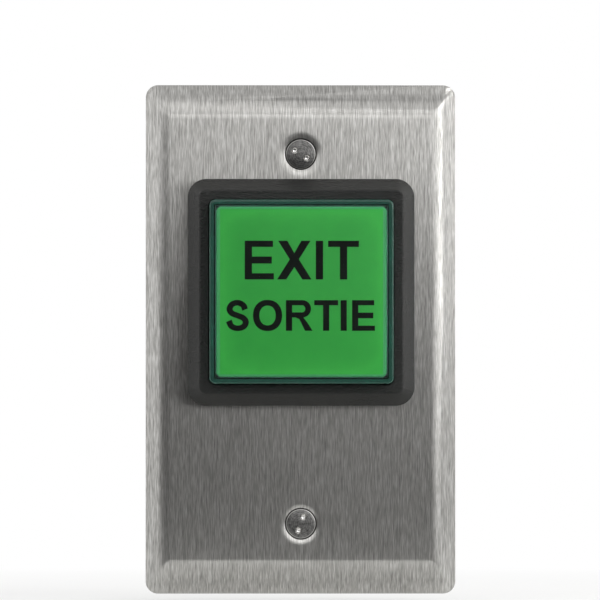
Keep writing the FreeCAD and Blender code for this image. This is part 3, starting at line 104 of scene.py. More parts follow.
class Shading:
    """A node tree, and one way to add any node to it."""

    def __init__(self, tree):
        self.tree = tree

    def feed(self, socket, given):
        if isinstance(given, Wire):
            self.tree.links.new(given.socket, socket)
        else:
            socket.default_value = given

    def node(self, kind, settings=None, values=None, output=0):
        made = self.tree.nodes.new(kind)
        for key, setting in (settings or {}).items():
            if key == "stops":
                ramp = made.color_ramp
                while len(ramp.elements) < len(setting):
                    ramp.elements.new(0.5)
                for element, (place, colour) in zip(ramp.elements, setting):
                    element.position, element.color = place, (*colour, 1.0)
            else:
                setattr(made, key, setting)
        for key, given in (values or {}).items():
            self.feed(made.inputs[key], given)
        return Wire(self, made.outputs[output])

    def math_of(self, operation, first, second=0.0):
        return self.node("ShaderNodeMath", {"operation": operation}, {0: first, 1: second})

    def spread(self, amount, low, high, start=0.0, end=1.0):
        """Maps one range of numbers onto another."""
        return self.node(
            "ShaderNodeMapRange", {}, {0: amount, 1: start, 2: end, 3: low, 4: high}
        )


class Finish(Shading):
    """A material with one Principled shader. Constants go straight onto the shader's sockets."""

    def __init__(self, name, **constants):
        self.material = bpy.data.materials.new(name)
        self.material.use_nodes = True
        super().__init__(self.material.node_tree)
        self.shader = self.tree.nodes["Principled BSDF"]
        for key, constant in constants.items():
            self.shader.inputs[key.replace("_", " ")].default_value = constant

    def place(self, stretch=(1.0, 1.0, 1.0), attribute=None):
        """Object coordinates in millimetres, or a piece's own attribute, scaled along the axes."""
        if attribute:
            source = self.node(
                "ShaderNodeAttribute", {"attribute_name": attribute}, output="Vector"
            )
        else:
            source = self.node("ShaderNodeTexCoord", output="Object")
        scale = [part / MM for part in stretch]
        return self.node(
            "ShaderNodeVectorMath", {"operation": "MULTIPLY"}, {0: source, 1: scale}
        )

    def noise(self, place, scale=1.0, detail=2.0, roughness=0.5):
        return self.node(
            "ShaderNodeTexNoise", {},
            {"Vector": place, "Scale": scale, "Detail": detail, "Roughness": roughness},
        )

    def blend(self, amount, first, second):
        """One colour turning into another. Inputs 6 and 7 of the Mix node take the colours."""
        values = {0: amount}
        for index, colour in ((6, first), (7, second)):
            values[index] = colour if isinstance(colour, Wire) else (*colour, 1.0)
        return self.node("ShaderNodeMix", {"data_type": "RGBA"}, values, output=2)

    def bump(self, height, depth):
        """Bump whose height of 1 stands for a depth in millimetres."""
        return self.node("ShaderNodeBump", {}, {"Height": height, "Distance": depth * MM})

    def give(self, **inputs):
        for key, given in inputs.items():
            self.feed(self.shader.inputs[key.replace("_", " ")], given)
        return self.material

    def lay_over(self, amount, other):
        """Mixes another shader over the Principled one."""
        own = Wire(self, self.shader.outputs[0])
        mixed = self.node("ShaderNodeMixShader", {}, {0: amount, 1: own, 2: other})
        self.feed(self.tree.nodes["Material Output"].inputs["Surface"], mixed)


# Finishes


def brushed_steel():
    """Stainless sheet brushed up and down: long fine scratches, with faint broad bands."""
    steel = Finish("brushed_steel_plate", Metallic=1.0, Anisotropic=0.92)
    fine = steel.noise(steel.place((6.5, 0.4, 0.4)), detail=2.0, roughness=0.5)
    long = steel.noise(steel.place((4.2, 0.14, 0.14)), detail=2.0, roughness=0.5)
    streaks = fine * 0.6 + long * 0.4
    stops = (
        (0.36, (0.31, 0.303, 0.289)), (0.5, (0.50, 0.492, 0.472)), (0.64, (0.71, 0.702, 0.682))
    )
    return steel.give(
        Base_Color=steel.node("ShaderNodeValToRGB", {"stops": stops}, {0: streaks}),
        Roughness=steel.spread(streaks, 0.38, 0.28),
        Normal=steel.bump(streaks, 0.0015),
    )


def turned_steel():
    """Turned rings, a painted highlight ring and painted shade in the gap round the head, and
    bright smooth pits.
    """
    steel = Finish("screw_steel", Metallic=1.0)
    head, pit_half = HEAD_HALF / MM, PIT_HALF / MM
    across, _, up = steel.place(attribute="own_place").apart()
    radius = (across * across + up * up) ** 0.5
    ring = steel.math_of("SINE", radius * 14.0)
    grain = steel.noise(steel.place((2.0, 2.0, 2.0)), detail=3.0)
    shade = steel.spread(grain + ring * 0.07, 0.0, 1.0, 0.3, 0.74)
    aside = steel.math_of("ABSOLUTE", across) - PIT_SPACING / 2 / MM
    pit = steel.spread((aside * aside + up * up) ** 0.5, 1.0, 0.0, pit_half - 0.12, pit_half)
    colour = steel.blend(shade, (0.09, 0.088, 0.086), (0.27, 0.267, 0.26))
    # Painted highlight: a light ring just inside the head's rim, where a turned chamfer would catch
    # the light.
    edge = steel.spread(radius, 0.0, 1.0, head - 0.42, head - 0.32)
    # Painted shade: a near-black line where the head meets the dimple, standing in for the shadowed
    # gap.
    painted_gap_shade = steel.spread(radius, 0.0, 1.0, head - 0.22, head - 0.12)
    colour = steel.blend(edge, colour, (0.40, 0.395, 0.38))
    colour = steel.blend(painted_gap_shade, colour, (0.015, 0.015, 0.014))
    return steel.give(
        Base_Color=steel.blend(pit, colour, (0.85, 0.84, 0.82)),
        Roughness=steel.spread(grain, 0.3, 0.4) * (1.0 - pit) + pit * 0.14,
        Normal=steel.bump((ring * 0.4 + grain) * (1.0 - pit), 0.014),
    )


def moulded_plastic(name, dark, light, grain, depth, shine=(0.42, 0.58), gloss=0.5):
    """Moulded plastic with a fine spark texture and a slight mottle."""
    plastic = Finish(name, IOR=1.49, Specular_IOR_Level=gloss)
    fine = plastic.noise(plastic.place(), scale=grain, detail=3.0, roughness=0.6)
    mottle = plastic.noise(plastic.place(), scale=0.12, detail=2.0)
    return plastic.give(
        Base_Color=plastic.blend(fine * 0.5 + mottle * 0.5, dark, light),
        Roughness=plastic.spread(mottle * 0.4 + fine * 0.6, *shine),
        Normal=plastic.bump(fine, depth),
    )


def tinted_lens():
    """Clear lens, polished in front. Its side wall is deeper in colour, cloudy and frosted."""
    lens = Finish("clear_lens", IOR=1.46, Transmission_Weight=1.0)
    flow = lens.noise(lens.place(), scale=0.15, detail=1.0)
    across, _, up = lens.place().apart()
    sideways = lens.math_of("ABSOLUTE", across)
    upwards = lens.math_of("ABSOLUTE", up - BUTTON_HEIGHT / MM)
    out = lens.math_of("MAXIMUM", sideways, upwards)
    inner = (LENS_HIGH.x - LENS_WALL) / MM
    wall = lens.spread(out, 0.0, 1.0, inner - 0.15, inner)
    inside = wall * lens.spread(out, 1.0, 0.0, inner + 0.1, inner + 0.2)
    glass = lens.give(
        Base_Color=lens.blend(wall, (0.86, 0.97, 0.92), (0.22, 0.70, 0.52)),
        Roughness=lens.spread(flow, 0.0, 0.02) + inside * 0.5,
    )
    cloudy = lens.node(
        "ShaderNodeBsdfPrincipled", {},
        {"Base Color": (0.07, 0.27, 0.2, 1.0), "Roughness": 0.3, "IOR": 1.46},
    )
    lens.lay_over(lens.spread(out, 0.0, 0.24, inner + 0.3, inner + 0.45), cloudy)
    return glass


def green_legend():
    """Lit green sheet, with painted light making it brighter towards its edges and a painted
    highlight along its paler rim.
    """
    green = Finish("green_legend", IOR=1.46)
    across, _, up = green.place().apart()
    half = (LEGEND_HIGH.x - LEGEND_LOW.x) / 2 / MM
    sideways = (across * (1 / half)) ** 8.0
    upwards = ((up - BUTTON_HEIGHT / MM) * (1 / half)) ** 8.0
    mottle = green.noise(green.place(), scale=0.35, detail=3.0)
    # Painted light: the field is painted brighter towards the sheet's edges.
    edge = green.spread(sideways + upwards + mottle * 0.3, 0.0, 1.0, 0.1, 0.75)
    field = green.blend(edge, (0.082, 0.72, 0.118), (0.125, 0.92, 0.155))
    # Painted highlight: a paler line along the sheet's cut rim.
    aside = green.math_of("ABSOLUTE", across)
    above = green.math_of("ABSOLUTE", up - BUTTON_HEIGHT / MM)
    out = green.math_of("MAXIMUM", aside, above - 0.25)
    rim = green.spread(out, 0.0, 1.0, half - 0.95, half - 0.7)
    return green.give(
        Base_Color=green.blend(rim, field, (0.22, 0.80, 0.34)),
        Roughness=green.spread(mottle, 0.35, 0.5),
    )


def printed_black():
    """Dull black print."""
    ink = Finish("legend_ink", IOR=1.45, Specular_IOR_Level=0.3)
    speckle = ink.noise(ink.place(), scale=3.0, detail=2.0)
    return ink.give(
        Base_Color=ink.blend(speckle, (0.003, 0.003, 0.003), (0.009, 0.008, 0.008)),
        Roughness=ink.spread(speckle, 0.65, 0.8),
    )


def drawn_metal(name, dark, light, stretch=(1.5, 1.5, 1.5)):
    """Stamped or drawn metal with light scratches."""
    metal = Finish(name, Metallic=1.0)
    scratch = metal.noise(metal.place(stretch), detail=4.0, roughness=0.65)
    return metal.give(
        Base_Color=metal.blend(scratch, dark, light),
        Roughness=metal.spread(scratch, 0.25, 0.42),
        Normal=metal.bump(scratch, 0.008),
    )


# Each plastic: its dark and its light colour, the grains in a millimetre, their depth in
# millimetres, and where they aren't the usual ones, its range of roughness and its gloss.
PLASTICS = {
    "black_bezel_plastic": (
        (0.001, 0.001, 0.001), (0.007, 0.008, 0.006), 2.2, 0.35, (0.16, 0.24), 0.45
    ),
    "white_diffuser": ((0.74, 0.77, 0.72), (0.84, 0.86, 0.82), 1.5, 0.01),
    "white_plastic": ((0.66, 0.66, 0.62), (0.78, 0.78, 0.74), 1.8, 0.01),
    "black_plastic": ((0.016, 0.016, 0.017), (0.034, 0.034, 0.036), 1.6, 0.012, (0.3, 0.46)),
    "red_plastic": ((0.42, 0.018, 0.012), (0.56, 0.03, 0.02), 2.0, 0.008),
    "lamp_resin": ((0.74, 0.75, 0.70), (0.86, 0.87, 0.83), 0.8, 0.004, (0.12, 0.2)),
}
# Each drawn or stamped metal: its dark and its light colour, and the stretch of its scratches
# where they run one way.
METALS = {
    "spring_steel": ((0.42, 0.42, 0.42), (0.60, 0.60, 0.59)),
    "brass": ((0.55, 0.40, 0.17), (0.74, 0.56, 0.27)),
    "tinned_brass": ((0.52, 0.50, 0.44), (0.70, 0.68, 0.62), (2.5, 0.4, 2.5)),
}
FINISHES = {
    "brushed_steel_plate": brushed_steel(),
    "screw_steel": turned_steel(),
    "clear_lens": tinted_lens(),
    "green_legend": green_legend(),
    "legend_ink": printed_black(),
    **{name: moulded_plastic(name, *settings) for name, settings in PLASTICS.items()},
    **{name: drawn_metal(name, *settings) for name, settings in METALS.items()},
}
BODY_OF = {
    node: body
    for body, members in frame["record"]["behaviour"]["bodies"].items()
    for node in members
}
SLOT_OF = {part["node"]: part["material_slot"] for part in frame["record"]["subparts"]}

# Making pieces


def shade(mesh, angle):
    """Smooth shading, with an edge wherever the surface turns by more than an angle."""
    mesh.shade_smooth()
    mesh.set_sharp_from_angle(angle=math.radians(angle))


def new_piece(name, mesh, finish):
    """A mesh with one finish, put in the scene."""
    piece = bpy.data.objects.new(name, mesh)
    bpy.context.scene.collection.objects.link(piece)
    mesh.materials.clear()
    mesh.materials.append(FINISHES[finish])
    return piece


def mesh_from(name, build, angle=35.0, open_surface=False):
    """A mesh made by a function that fills a bmesh."""
    work = bmesh.new()
    build(work)
    bmesh.ops.remove_doubles(work, verts=work.verts, dist=1e-7)
    if not open_surface:
        bmesh.ops.recalc_face_normals(work, faces=work.faces)
    mesh = bpy.data.meshes.new(name)
    work.to_mesh(mesh)
    work.free()
    shade(mesh, angle)
    return mesh


def settle(piece, angle=None):
    """Applies a piece's modifiers, and shades it anew where an angle is given."""
    graph = bpy.context.evaluated_depsgraph_get()
    bpy.context.view_layer.update()
    mesh = bpy.data.meshes.new_from_object(piece.evaluated_get(graph))
    piece.modifiers.clear()
    piece.data = mesh
    if angle:
        shade(mesh, angle)
    return piece


def cut_away(piece, cutting_mesh, angle, edge=0.0):
    """Cuts a shape out of a piece, and can round the sharp edges a little."""
    cutter = bpy.data.objects.new("cutter", cutting_mesh)
    bpy.context.scene.collection.objects.link(cutter)
    cut = piece.modifiers.new("cut", "BOOLEAN")
    cut.object = cutter
    cut.solver = "EXACT"
    if edge:
        rounding = piece.modifiers.new("edges", "BEVEL")
        rounding.width = edge
        rounding.segments = 2
        rounding.limit_method = "ANGLE"
        rounding.angle_limit = math.radians(45.0)
    settle(piece, angle)
    bpy.data.objects.remove(cutter)


def stand_for(piece, node):
    """The piece takes a CAD node's place and body, and the node is hidden."""
    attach(piece, BODY_OF[node])
    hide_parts(node)
    return piece


def rounded_ring(half_x, half_z, corner, y, middle=(0.0, 0.0), steps=8):
    """Points of a rectangle with round corners, at one depth."""
    corner = max(corner, 1e-5)
    points = []
    for quarter in range(4):
        turn = math.pi / 2 * quarter
        sign_x, sign_z = (1, -1, -1, 1)[quarter], (1, 1, -1, -1)[quarter]
        centre_x = middle[0] + sign_x * (half_x - corner)
        centre_z = middle[1] + sign_z * (half_z - corner)
        for step in range(steps + 1):
            angle = turn + math.pi / 2 * step / steps
            x = centre_x + corner * math.cos(angle)
            z = centre_z + corner * math.sin(angle)
            points.append((x, y, z))
    return points


def round_ring(radius, y, middle=(0.0, 0.0), steps=48):
    turns = [2 * math.pi * step / steps for step in range(steps)]
    return [
        (middle[0] + radius * math.cos(turn), y, middle[1] + radius * math.sin(turn))
        for turn in turns
    ]


def stack_rings(work, rings, closed=True):
    """Skins a row of rings that have the same number of points, with or without end faces."""
    rows = [[work.verts.new(point) for point in ring] for ring in rings]
    for row, following in zip(rows, rows[1:]):
        for i in range(len(row)):
            j = (i + 1) % len(row)
            work.faces.new((row[i], row[j], following[j], following[i]))
    if closed:
        work.faces.new(rows[0])
        work.faces.new(rows[-1])
    return rows


def soften(node, name, width, angle=40.0):
    """A merged copy of a CAD node, with its sharp edges rounded by a width in millimetres."""
    mesh = frame["nodes"][node].data.copy()
    work = bmesh.new()
    work.from_mesh(mesh)
    bmesh.ops.remove_doubles(work, verts=work.verts, dist=2e-6)
    bmesh.ops.dissolve_limit(
        work, angle_limit=math.radians(0.5), verts=work.verts, edges=work.edges
    )
    work.to_mesh(mesh)
    work.free()
    stale = mesh.attributes.get("custom_normal")
    if stale:
        mesh.attributes.remove(stale)
    piece = new_piece(name, mesh, SLOT_OF[node])
    bevel = piece.modifiers.new("edges", "BEVEL")
    bevel.width = width * MM
    bevel.segments = 2
    bevel.limit_method = "ANGLE"
    bevel.angle_limit = math.radians(angle)
    bevel.harden_normals = True
    mesh.shade_smooth()
    settle(piece)
    return stand_for(piece, node)


# What repeats along a coil: the return spring and the threads


def coil_tree():
    """Geometry nodes for a wire wound about the Y axis, from a start depth onwards."""
    tree = bpy.data.node_groups.new("wound_wire", "GeometryNodeTree")
    tree.is_modifier = True
    kinds = {
        **dict.fromkeys(("Radius", "Turns", "Length", "Wire", "Start", "Height"), "Float"),
        **dict.fromkeys(("Sides", "Steps"), "Int"),
        "Finish": "Material",
    }
    for name, kind in kinds.items():
        tree.interface.new_socket(name, in_out="INPUT", socket_type="NodeSocket" + kind)
    tree.interface.new_socket("Wire", in_out="OUTPUT", socket_type="NodeSocketGeometry")
    given = tree.nodes.new("NodeGroupInput")
    outgoing = tree.nodes.new("NodeGroupOutput")

    def add(kind, **values):
        made = tree.nodes.new(kind)
        for key, source in values.items():
            socket = made.inputs[key.replace("_", " ")]
            if hasattr(source, "is_output"):
                tree.links.new(source, socket)
            else:
                socket.default_value = source
        return made

    line = add(
        "GeometryNodeCurveSpiral",
        Resolution=given.outputs["Steps"], Rotations=given.outputs["Turns"],
        Start_Radius=given.outputs["Radius"], End_Radius=given.outputs["Radius"],
        Height=given.outputs["Length"],
    )
    upright = add("GeometryNodeSetCurveNormal", Curve=line.outputs["Curve"])
    upright.mode = "Z_UP"
    section = add(
        "GeometryNodeCurvePrimitiveCircle",
        Resolution=given.outputs["Sides"], Radius=given.outputs["Wire"],
    )
    wound = add(
        "GeometryNodeCurveToMesh",
        Curve=upright.outputs["Curve"], Profile_Curve=section.outputs["Curve"], Fill_Caps=True,
    )
    place = add("ShaderNodeCombineXYZ", Y=given.outputs["Start"], Z=given.outputs["Height"])
    laid = add(
        "GeometryNodeTransform",
        Geometry=wound.outputs["Mesh"], Translation=place.outputs[0],
        Rotation=(-math.pi / 2, 0.0, 0.0),
    )
    real = add("GeometryNodeRealizeInstances", Geometry=laid.outputs["Geometry"])
    coloured = add(
        "GeometryNodeSetMaterial",
        Geometry=real.outputs["Geometry"], Material=given.outputs["Finish"],
    )
    tree.links.new(coloured.outputs["Geometry"], outgoing.inputs["Wire"])
    return tree


COIL = coil_tree()


def wind(name, finish, **sizes):
    """A plain mesh wound by the coil's nodes. The sizes are the tree's own inputs, all of them."""
    piece = new_piece(name, bpy.data.meshes.new(name), finish)
    winding = piece.modifiers.new("winding", "NODES")
    winding.node_group = COIL
    sizes["Finish"] = FINISHES[finish]
    for item in COIL.interface.items_tree:
        if item.in_out == "INPUT":
            winding[item.identifier] = sizes[item.name]
    return settle(piece, 60.0)


def join(name, pieces, finish):
    """Several pieces' meshes in one piece."""
    work = bmesh.new()
    for piece in pieces:
        work.from_mesh(piece.data)
        bpy.data.objects.remove(piece)
    mesh = bpy.data.meshes.new(name)
    work.to_mesh(mesh)
    work.free()
    return new_piece(name, mesh, finish)


# Wall plate

SHEET = 0.9 * MM
RISE = -PLATE_LOW.y
PLATE_HALF = (PLATE_HIGH.x, PLATE_HIGH.z)
PLATE_CORNER = 2.8 * MM
SIDE_SLOPE, SIDE_BEND = math.radians(34.0), 3.6 * MM
END_SLOPE, END_BEND = math.radians(42.0), 6.9 * MM
SCREW_HEIGHT = (SCREW_HIGH.z - SCREW_LOW.z) / 2 - SCREW_HIGH.x
CORNER_SOFTNESS = 2.6 * MM
SIDE_STEPS, END_STEPS, LIP_STEPS = 22, 26, 12
# The dimple falls ever more steeply from its rim to its lip, and then as a cone to its hole.
DIMPLE_RIM, DIMPLE_LIP, DIMPLE_HALF, DIMPLE_HOLE = 5.5 * MM, 3.6 * MM, 4.1 * MM, 2.0 * MM
LIP_SLOPE, LIP_GROWTH, CONE_SLOPE = math.radians(17.0), 1.8, math.radians(49.0)
BARREL_HALF, BARREL_GAP = 14.0 * MM, 0.3 * MM


def bend_run(slope, bend):
    """How far a bend reaches along the sheet to either side of its corner."""
    return bend * math.tan((math.pi / 2 - slope) / 2)


def flat_start(slope, bend):
    """How far in from the rim the bend reaches the flat."""
    return RISE * math.tan(slope) + bend_run(slope, bend)


def rise_at(inset, slope, bend):
    """The sheet's height above the wall at a distance in from the rim."""
    flat = flat_start(slope, bend)
    straight = RISE * math.tan(slope) - bend_run(slope, bend) * math.sin(slope)
    if inset >= flat:
        return RISE
    if inset <= straight:
        return inset / math.tan(slope)
    return RISE - bend + math.sqrt(max(bend ** 2 - (flat - inset) ** 2, 0.0))


def plate_point(inset_x, inset_z, side_x, side_z):
    """A point of the border, from how far it lies inside two rims, in one of the quarters.

    Corners are rounded in plan, and the two bends meet there in a soft ridge.
    """
    low, high = sorted((inset_x, inset_z))
    radius = PLATE_CORNER - low
    x, z = PLATE_HALF[0] - inset_x, PLATE_HALF[1] - inset_z
    if radius > 0 and high - low < radius:
        turn = math.pi / 4 * (1 - (high - low) / radius)
        along, out = radius * math.sin(turn), radius * math.cos(turn)
        add_x, add_z = (out, along) if inset_x < inset_z else (along, out)
        x, z = PLATE_HALF[0] - PLATE_CORNER + add_x, PLATE_HALF[1] - PLATE_CORNER + add_z
    side, end = rise_at(inset_x, SIDE_SLOPE, SIDE_BEND), rise_at(inset_z, END_SLOPE, END_BEND)
    lowest = min(side, end)
    softness = min(CORNER_SOFTNESS, 0.9 * (RISE - lowest), 3.0 * lowest)
    overlap = max(softness - abs(side - end), 0.0)
    if softness > 0:
        lowest -= overlap * overlap / softness / 4
    return Vector((side_x * x, -max(lowest, 0.0), side_z * z))


def dimple_rings(middle):
    """The rolled lip and the cone of a dimple, from its rim inwards."""
    rings = []
    depth, stride = -RISE, (DIMPLE_RIM - DIMPLE_LIP) / LIP_STEPS
    for step in range(LIP_STEPS + 1):
        rings.append((DIMPLE_RIM - step * stride, depth))
        depth += stride * math.tan(LIP_SLOPE * ((step + 0.5) / LIP_STEPS) ** LIP_GROWTH)
    for radius in (DIMPLE_LIP - 0.07 * MM, DIMPLE_HOLE):
        rings.append((radius, -RISE + (DIMPLE_HALF - radius) * math.tan(CONE_SLOPE)))
    return [round_ring(radius, y, middle, 64) for radius, y in rings]


def build_border(work):
    """The bent border. Returns the points round the flat face, which it leaves open."""
    side_flat, end_flat = flat_start(SIDE_SLOPE, SIDE_BEND), flat_start(END_SLOPE, END_BEND)
    across = [side_flat * (step / SIDE_STEPS) for step in range(SIDE_STEPS + 1)]
    upwards = [end_flat * (step / END_STEPS) for step in range(END_STEPS + 1)]
    columns = [(inset, -1) for inset in across] + [(inset, 1) for inset in reversed(across)]
    rows = [(inset, -1) for inset in upwards] + [(inset, 1) for inset in reversed(upwards)]
    grid = [
        [work.verts.new(plate_point(in_x, in_z, side_x, side_z)) for in_x, side_x in columns]
        for in_z, side_z in rows
    ]

    def corners(i, j):
        return grid[j][i], grid[j][i + 1], grid[j + 1][i + 1], grid[j + 1][i]

    for j in range(len(rows) - 1):
        for i in range(len(columns) - 1):
            if (i, j) != (SIDE_STEPS, END_STEPS):
                work.faces.new(corners(i, j))
    return list(corners(SIDE_STEPS, END_STEPS))


def build_plate(work):
    """The sheet's front: border and dimples, with a flat face filled in between them."""
    loops = [build_border(work)]
    for side in (-1, 1):
        loops.append(stack_rings(work, dimple_rings((0.0, side * SCREW_HEIGHT)), closed=False)[0])
    hole = round_ring(BARREL_HALF + BARREL_GAP, -RISE, (0.0, BUTTON_HEIGHT), 64)
    loops.append([work.verts.new(point) for point in hole])
    edges = []
    for loop in loops:
        for first, second in zip(loop, loop[1:] + loop[:1]):
            edges.append(work.edges.get((first, second)) or work.edges.new((first, second)))
    bmesh.ops.triangle_fill(work, use_beauty=True, edges=edges)
    bmesh.ops.recalc_face_normals(work, faces=work.faces)
    if sum(face.normal.y * face.calc_area() for face in work.faces) > 0:
        bmesh.ops.reverse_faces(work, faces=work.faces)


def make_plate():
    """The sheet gets its thickness inwards, and its rim is levelled on the wall."""
    front = mesh_from("wall_plate", build_plate, open_surface=True)
    plate = new_piece("wall_plate", front, "brushed_steel_plate")
    sheet = plate.modifiers.new("sheet", "SOLIDIFY")
    sheet.thickness = SHEET
    sheet.offset = -1.0
    sheet.use_even_offset = True
    settle(plate, 40.0)
    for vertex in plate.data.vertices:
        vertex.co.y = min(vertex.co.y, 0.0)
    stand_for(plate, "faceplate")


# Plate screws

NECK_HALF, NECK_END, TIP_LENGTH = 1.4 * MM, -2.1 * MM, 1.0 * MM
CROWN, HEAD_RIM, HEAD_CONE = 0.4 * MM, 0.2 * MM, math.radians(41.0)
THREAD_ROOT, THREAD_PITCH, THREAD_START = 1.36 * MM, 0.79 * MM, -1.6 * MM
# How far each screw, the upper and the lower one, was turned home.
SCREW_TURNS = {1: math.radians(32.0), -1: math.radians(110.0)}


def build_screw(work):
    """The screw about the Y axis: low dome, rim, sunk cone, neck and core."""
    front = SCREW_LOW.y
    edge = front + CROWN + HEAD_RIM
    curve = (HEAD_HALF ** 2 + CROWN ** 2) / (2 * CROWN)
    rings = []
    for step in range(1, 11):
        radius = (HEAD_HALF - HEAD_RIM) * step / 10
        rings.append((radius, front + curve - math.sqrt(curve ** 2 - radius ** 2)))
    rings += [
        (HEAD_HALF, edge - 0.08 * MM),
        (HEAD_HALF, edge),
        (NECK_HALF, edge + (HEAD_HALF - NECK_HALF) / math.tan(HEAD_CONE)),
        (NECK_HALF, NECK_END),
        (THREAD_ROOT, NECK_END + 0.1 * MM),
        (THREAD_ROOT, SCREW_HIGH.y - TIP_LENGTH),
        (0.6 * MM, SCREW_HIGH.y),
    ]
    stack_rings(work, [round_ring(radius, y, steps=48) for radius, y in rings])


def build_pits(work):
    """Two round-nosed drills that cut the pits of a screw head."""
    front, shoulder = SCREW_LOW.y, SCREW_LOW.y + 0.1 * MM
    for side in (-1, 1):
        middle = (side * PIT_SPACING / 2, 0.0)
        rings = [(PIT_HALF, front - MM), (PIT_HALF, shoulder)]
        for step in range(1, 7):
            turn = math.radians(14.0 * step)
            rings.append((PIT_HALF * math.cos(turn), shoulder + PIT_DEPTH * math.sin(turn)))
        stack_rings(work, [round_ring(radius, y, middle, 32) for radius, y in rings])


def make_screws():
    """Both screws in one piece. Each keeps its own coordinates for the turned finish."""
    made = []
    length = SCREW_HIGH.y - TIP_LENGTH - 0.2 * MM - THREAD_START
    for side, turn in SCREW_TURNS.items():
        blank = mesh_from("screw_blank", build_screw, 40.0)
        screw = new_piece("screw_blank", blank, "screw_steel")
        cut_away(screw, mesh_from("pits", build_pits), 40.0, 0.05 * MM)
        thread = wind(
            "screw_thread", "screw_steel",
            Radius=THREAD_ROOT + 0.06 * MM, Turns=length / THREAD_PITCH, Length=length,
            Wire=0.3 * MM, Start=THREAD_START, Height=0.0, Sides=4, Steps=24,
        )
        whole = join("screw", [screw, thread], "screw_steel")
        own = whole.data.attributes.new("own_place", "FLOAT_VECTOR", "POINT")
        own.data.foreach_set("vector", [part for v in whole.data.vertices for part in v.co])
        whole.data.transform(
            Matrix.Translation((0.0, 0.0, side * SCREW_HEIGHT)) @ Matrix.Rotation(turn, 4, "Y")
        )
        made.append(whole)
    screws = join("plate_screw_pair", made, "screw_steel")
    shade(screws.data, 30.0)
    stand_for(screws, "plate_screws")


# Lens, legend and lettering

LENS_HALF = LENS_HIGH.x
LENS_CORNER, LENS_ROUND, INSIDE_ROUND, RIM_BREAK = 1.3 * MM, 0.4 * MM, 0.2 * MM, 0.1 * MM
FACE_BORDER = 0.06 * MM
AIR_GAP = 0.05 * MM
LEGEND_CORNER, LEGEND_CHAMFER = 1.2 * MM, 0.3 * MM
CATCH_SPACING, CATCH_HALF, CATCH_DEPTHS = 20.0 * MM, 2.65 * MM, (-13.35 * MM, -12.05 * MM)


def build_lens(work):
    """A square cup: from the inner face down the wall, round the rim and up to the front."""
    inner = LENS_HALF - LENS_WALL
    face, front, rim = LEGEND_LOW.y, LENS_LOW.y, LENS_HIGH.y
    rings = []
    for step in range(5):
        turn = math.pi / 2 * step / 4
        back = INSIDE_ROUND * (1 - math.sin(turn))
        depth = face + INSIDE_ROUND * (1 - math.cos(turn))
        rings.append((inner - back, LENS_CORNER - back, depth))
    rings.insert(0, (rings[0][0] - FACE_BORDER, rings[0][1] - FACE_BORDER, face))
    rings += [
        (inner, LENS_CORNER, rim - RIM_BREAK),
        (inner + RIM_BREAK, LENS_CORNER, rim),
        (LENS_HALF - RIM_BREAK, LENS_CORNER, rim),
        (LENS_HALF, LENS_CORNER, rim - RIM_BREAK),
    ]
    for step in range(10):
        turn = math.pi / 2 * step / 9
        back = LENS_ROUND * (1 - math.cos(turn))
        corner = max(LENS_CORNER - back * 0.7, 0.3 * MM)
        rings.append((LENS_HALF - back, corner, front + LENS_ROUND * (1 - math.sin(turn))))
    rings.append((rings[-1][0] - FACE_BORDER, rings[-1][1] - FACE_BORDER, front))
    middle = (0.0, BUTTON_HEIGHT)
    stack_rings(work, [rounded_ring(half, half, corner, y, middle) for half, corner, y in rings])


def build_catch_windows(work):
    """Blocks that cut the lens wall where the plunger's catches hold it."""
    beyond = 0.1 * MM
    reach = LENS_WALL + beyond * 2
    for side in (-1, 1):
        for above in (-1, 1):
            middle = (side * (LENS_HALF + beyond), BUTTON_HEIGHT + above * CATCH_SPACING / 2)
            rows = [rounded_ring(reach, CATCH_HALF, 0.0, y, middle, 1) for y in CATCH_DEPTHS]
            stack_rings(work, rows)


def build_legend(work):
    """A sheet just behind the lens's inner face, with a rounded front edge."""
    front = LEGEND_LOW.y + AIR_GAP
    waist = LEGEND_CHAMFER * 0.3
    profile = (
        (0.0, LEGEND_HIGH.y), (0.0, front + LEGEND_CHAMFER), (waist, front + waist),
        (LEGEND_CHAMFER, front),
    )
    rings = []
    for inwards, depth in profile:
        half, corner = LEGEND_HIGH.x - inwards, LEGEND_CORNER - inwards
        rings.append(rounded_ring(half, half, corner, depth, (0.0, BUTTON_HEIGHT)))
    stack_rings(work, rings)


def make_lens():
    lens = new_piece("push_lens", mesh_from("push_lens", build_lens, 30.0), "clear_lens")
    cut_away(lens, mesh_from("catch_windows", build_catch_windows), 30.0)
    stand_for(lens, "lens_cap")


def make_legend():
    sheet = mesh_from("legend_sheet", build_legend, 30.0)
    stand_for(new_piece("legend_sheet", sheet, "green_legend"), "legend_plate")


# Each letter gives its loops of points, from its width and height and the thickness of its
# upright and level strokes. The numbers in them are shares of those sizes.


def letter_e(width, height, stem, arm):
    low, high = (height - arm) * 0.49, (height + arm) * 0.51
    return [[
        (0, 0), (width, 0), (width, arm), (stem, arm), (stem, low), (width * 0.93, low),
        (width * 0.93, high), (stem, high), (stem, height - arm), (width * 0.97, height - arm),
        (width * 0.97, height), (0, height),
    ]]


def letter_x(width, height, stem, arm):
    foot, top = stem * 1.25, width * 0.03
    crotch = height * (width / 2 - foot) / (width - foot)
    return [[
        (0, 0), (foot, 0), (width / 2, crotch), (width - foot, 0), (width, 0),
        ((width + foot) / 2, height * 0.52), (width - top, height), (width - top - foot, height),
        (width / 2, height - crotch), (top + foot, height), (top, height),
        ((width - foot) / 2, height * 0.52),
    ]]


def letter_i(width, height, stem, arm):
    return [[(0, 0), (width, 0), (width, height), (0, height)]]


def letter_t(width, height, stem, arm):
    left, right = (width - stem) / 2, (width + stem) / 2
    return [[
        (left, 0), (right, 0), (right, height - arm), (width, height - arm), (width, height),
        (0, height), (0, height - arm), (left, height - arm),
    ]]


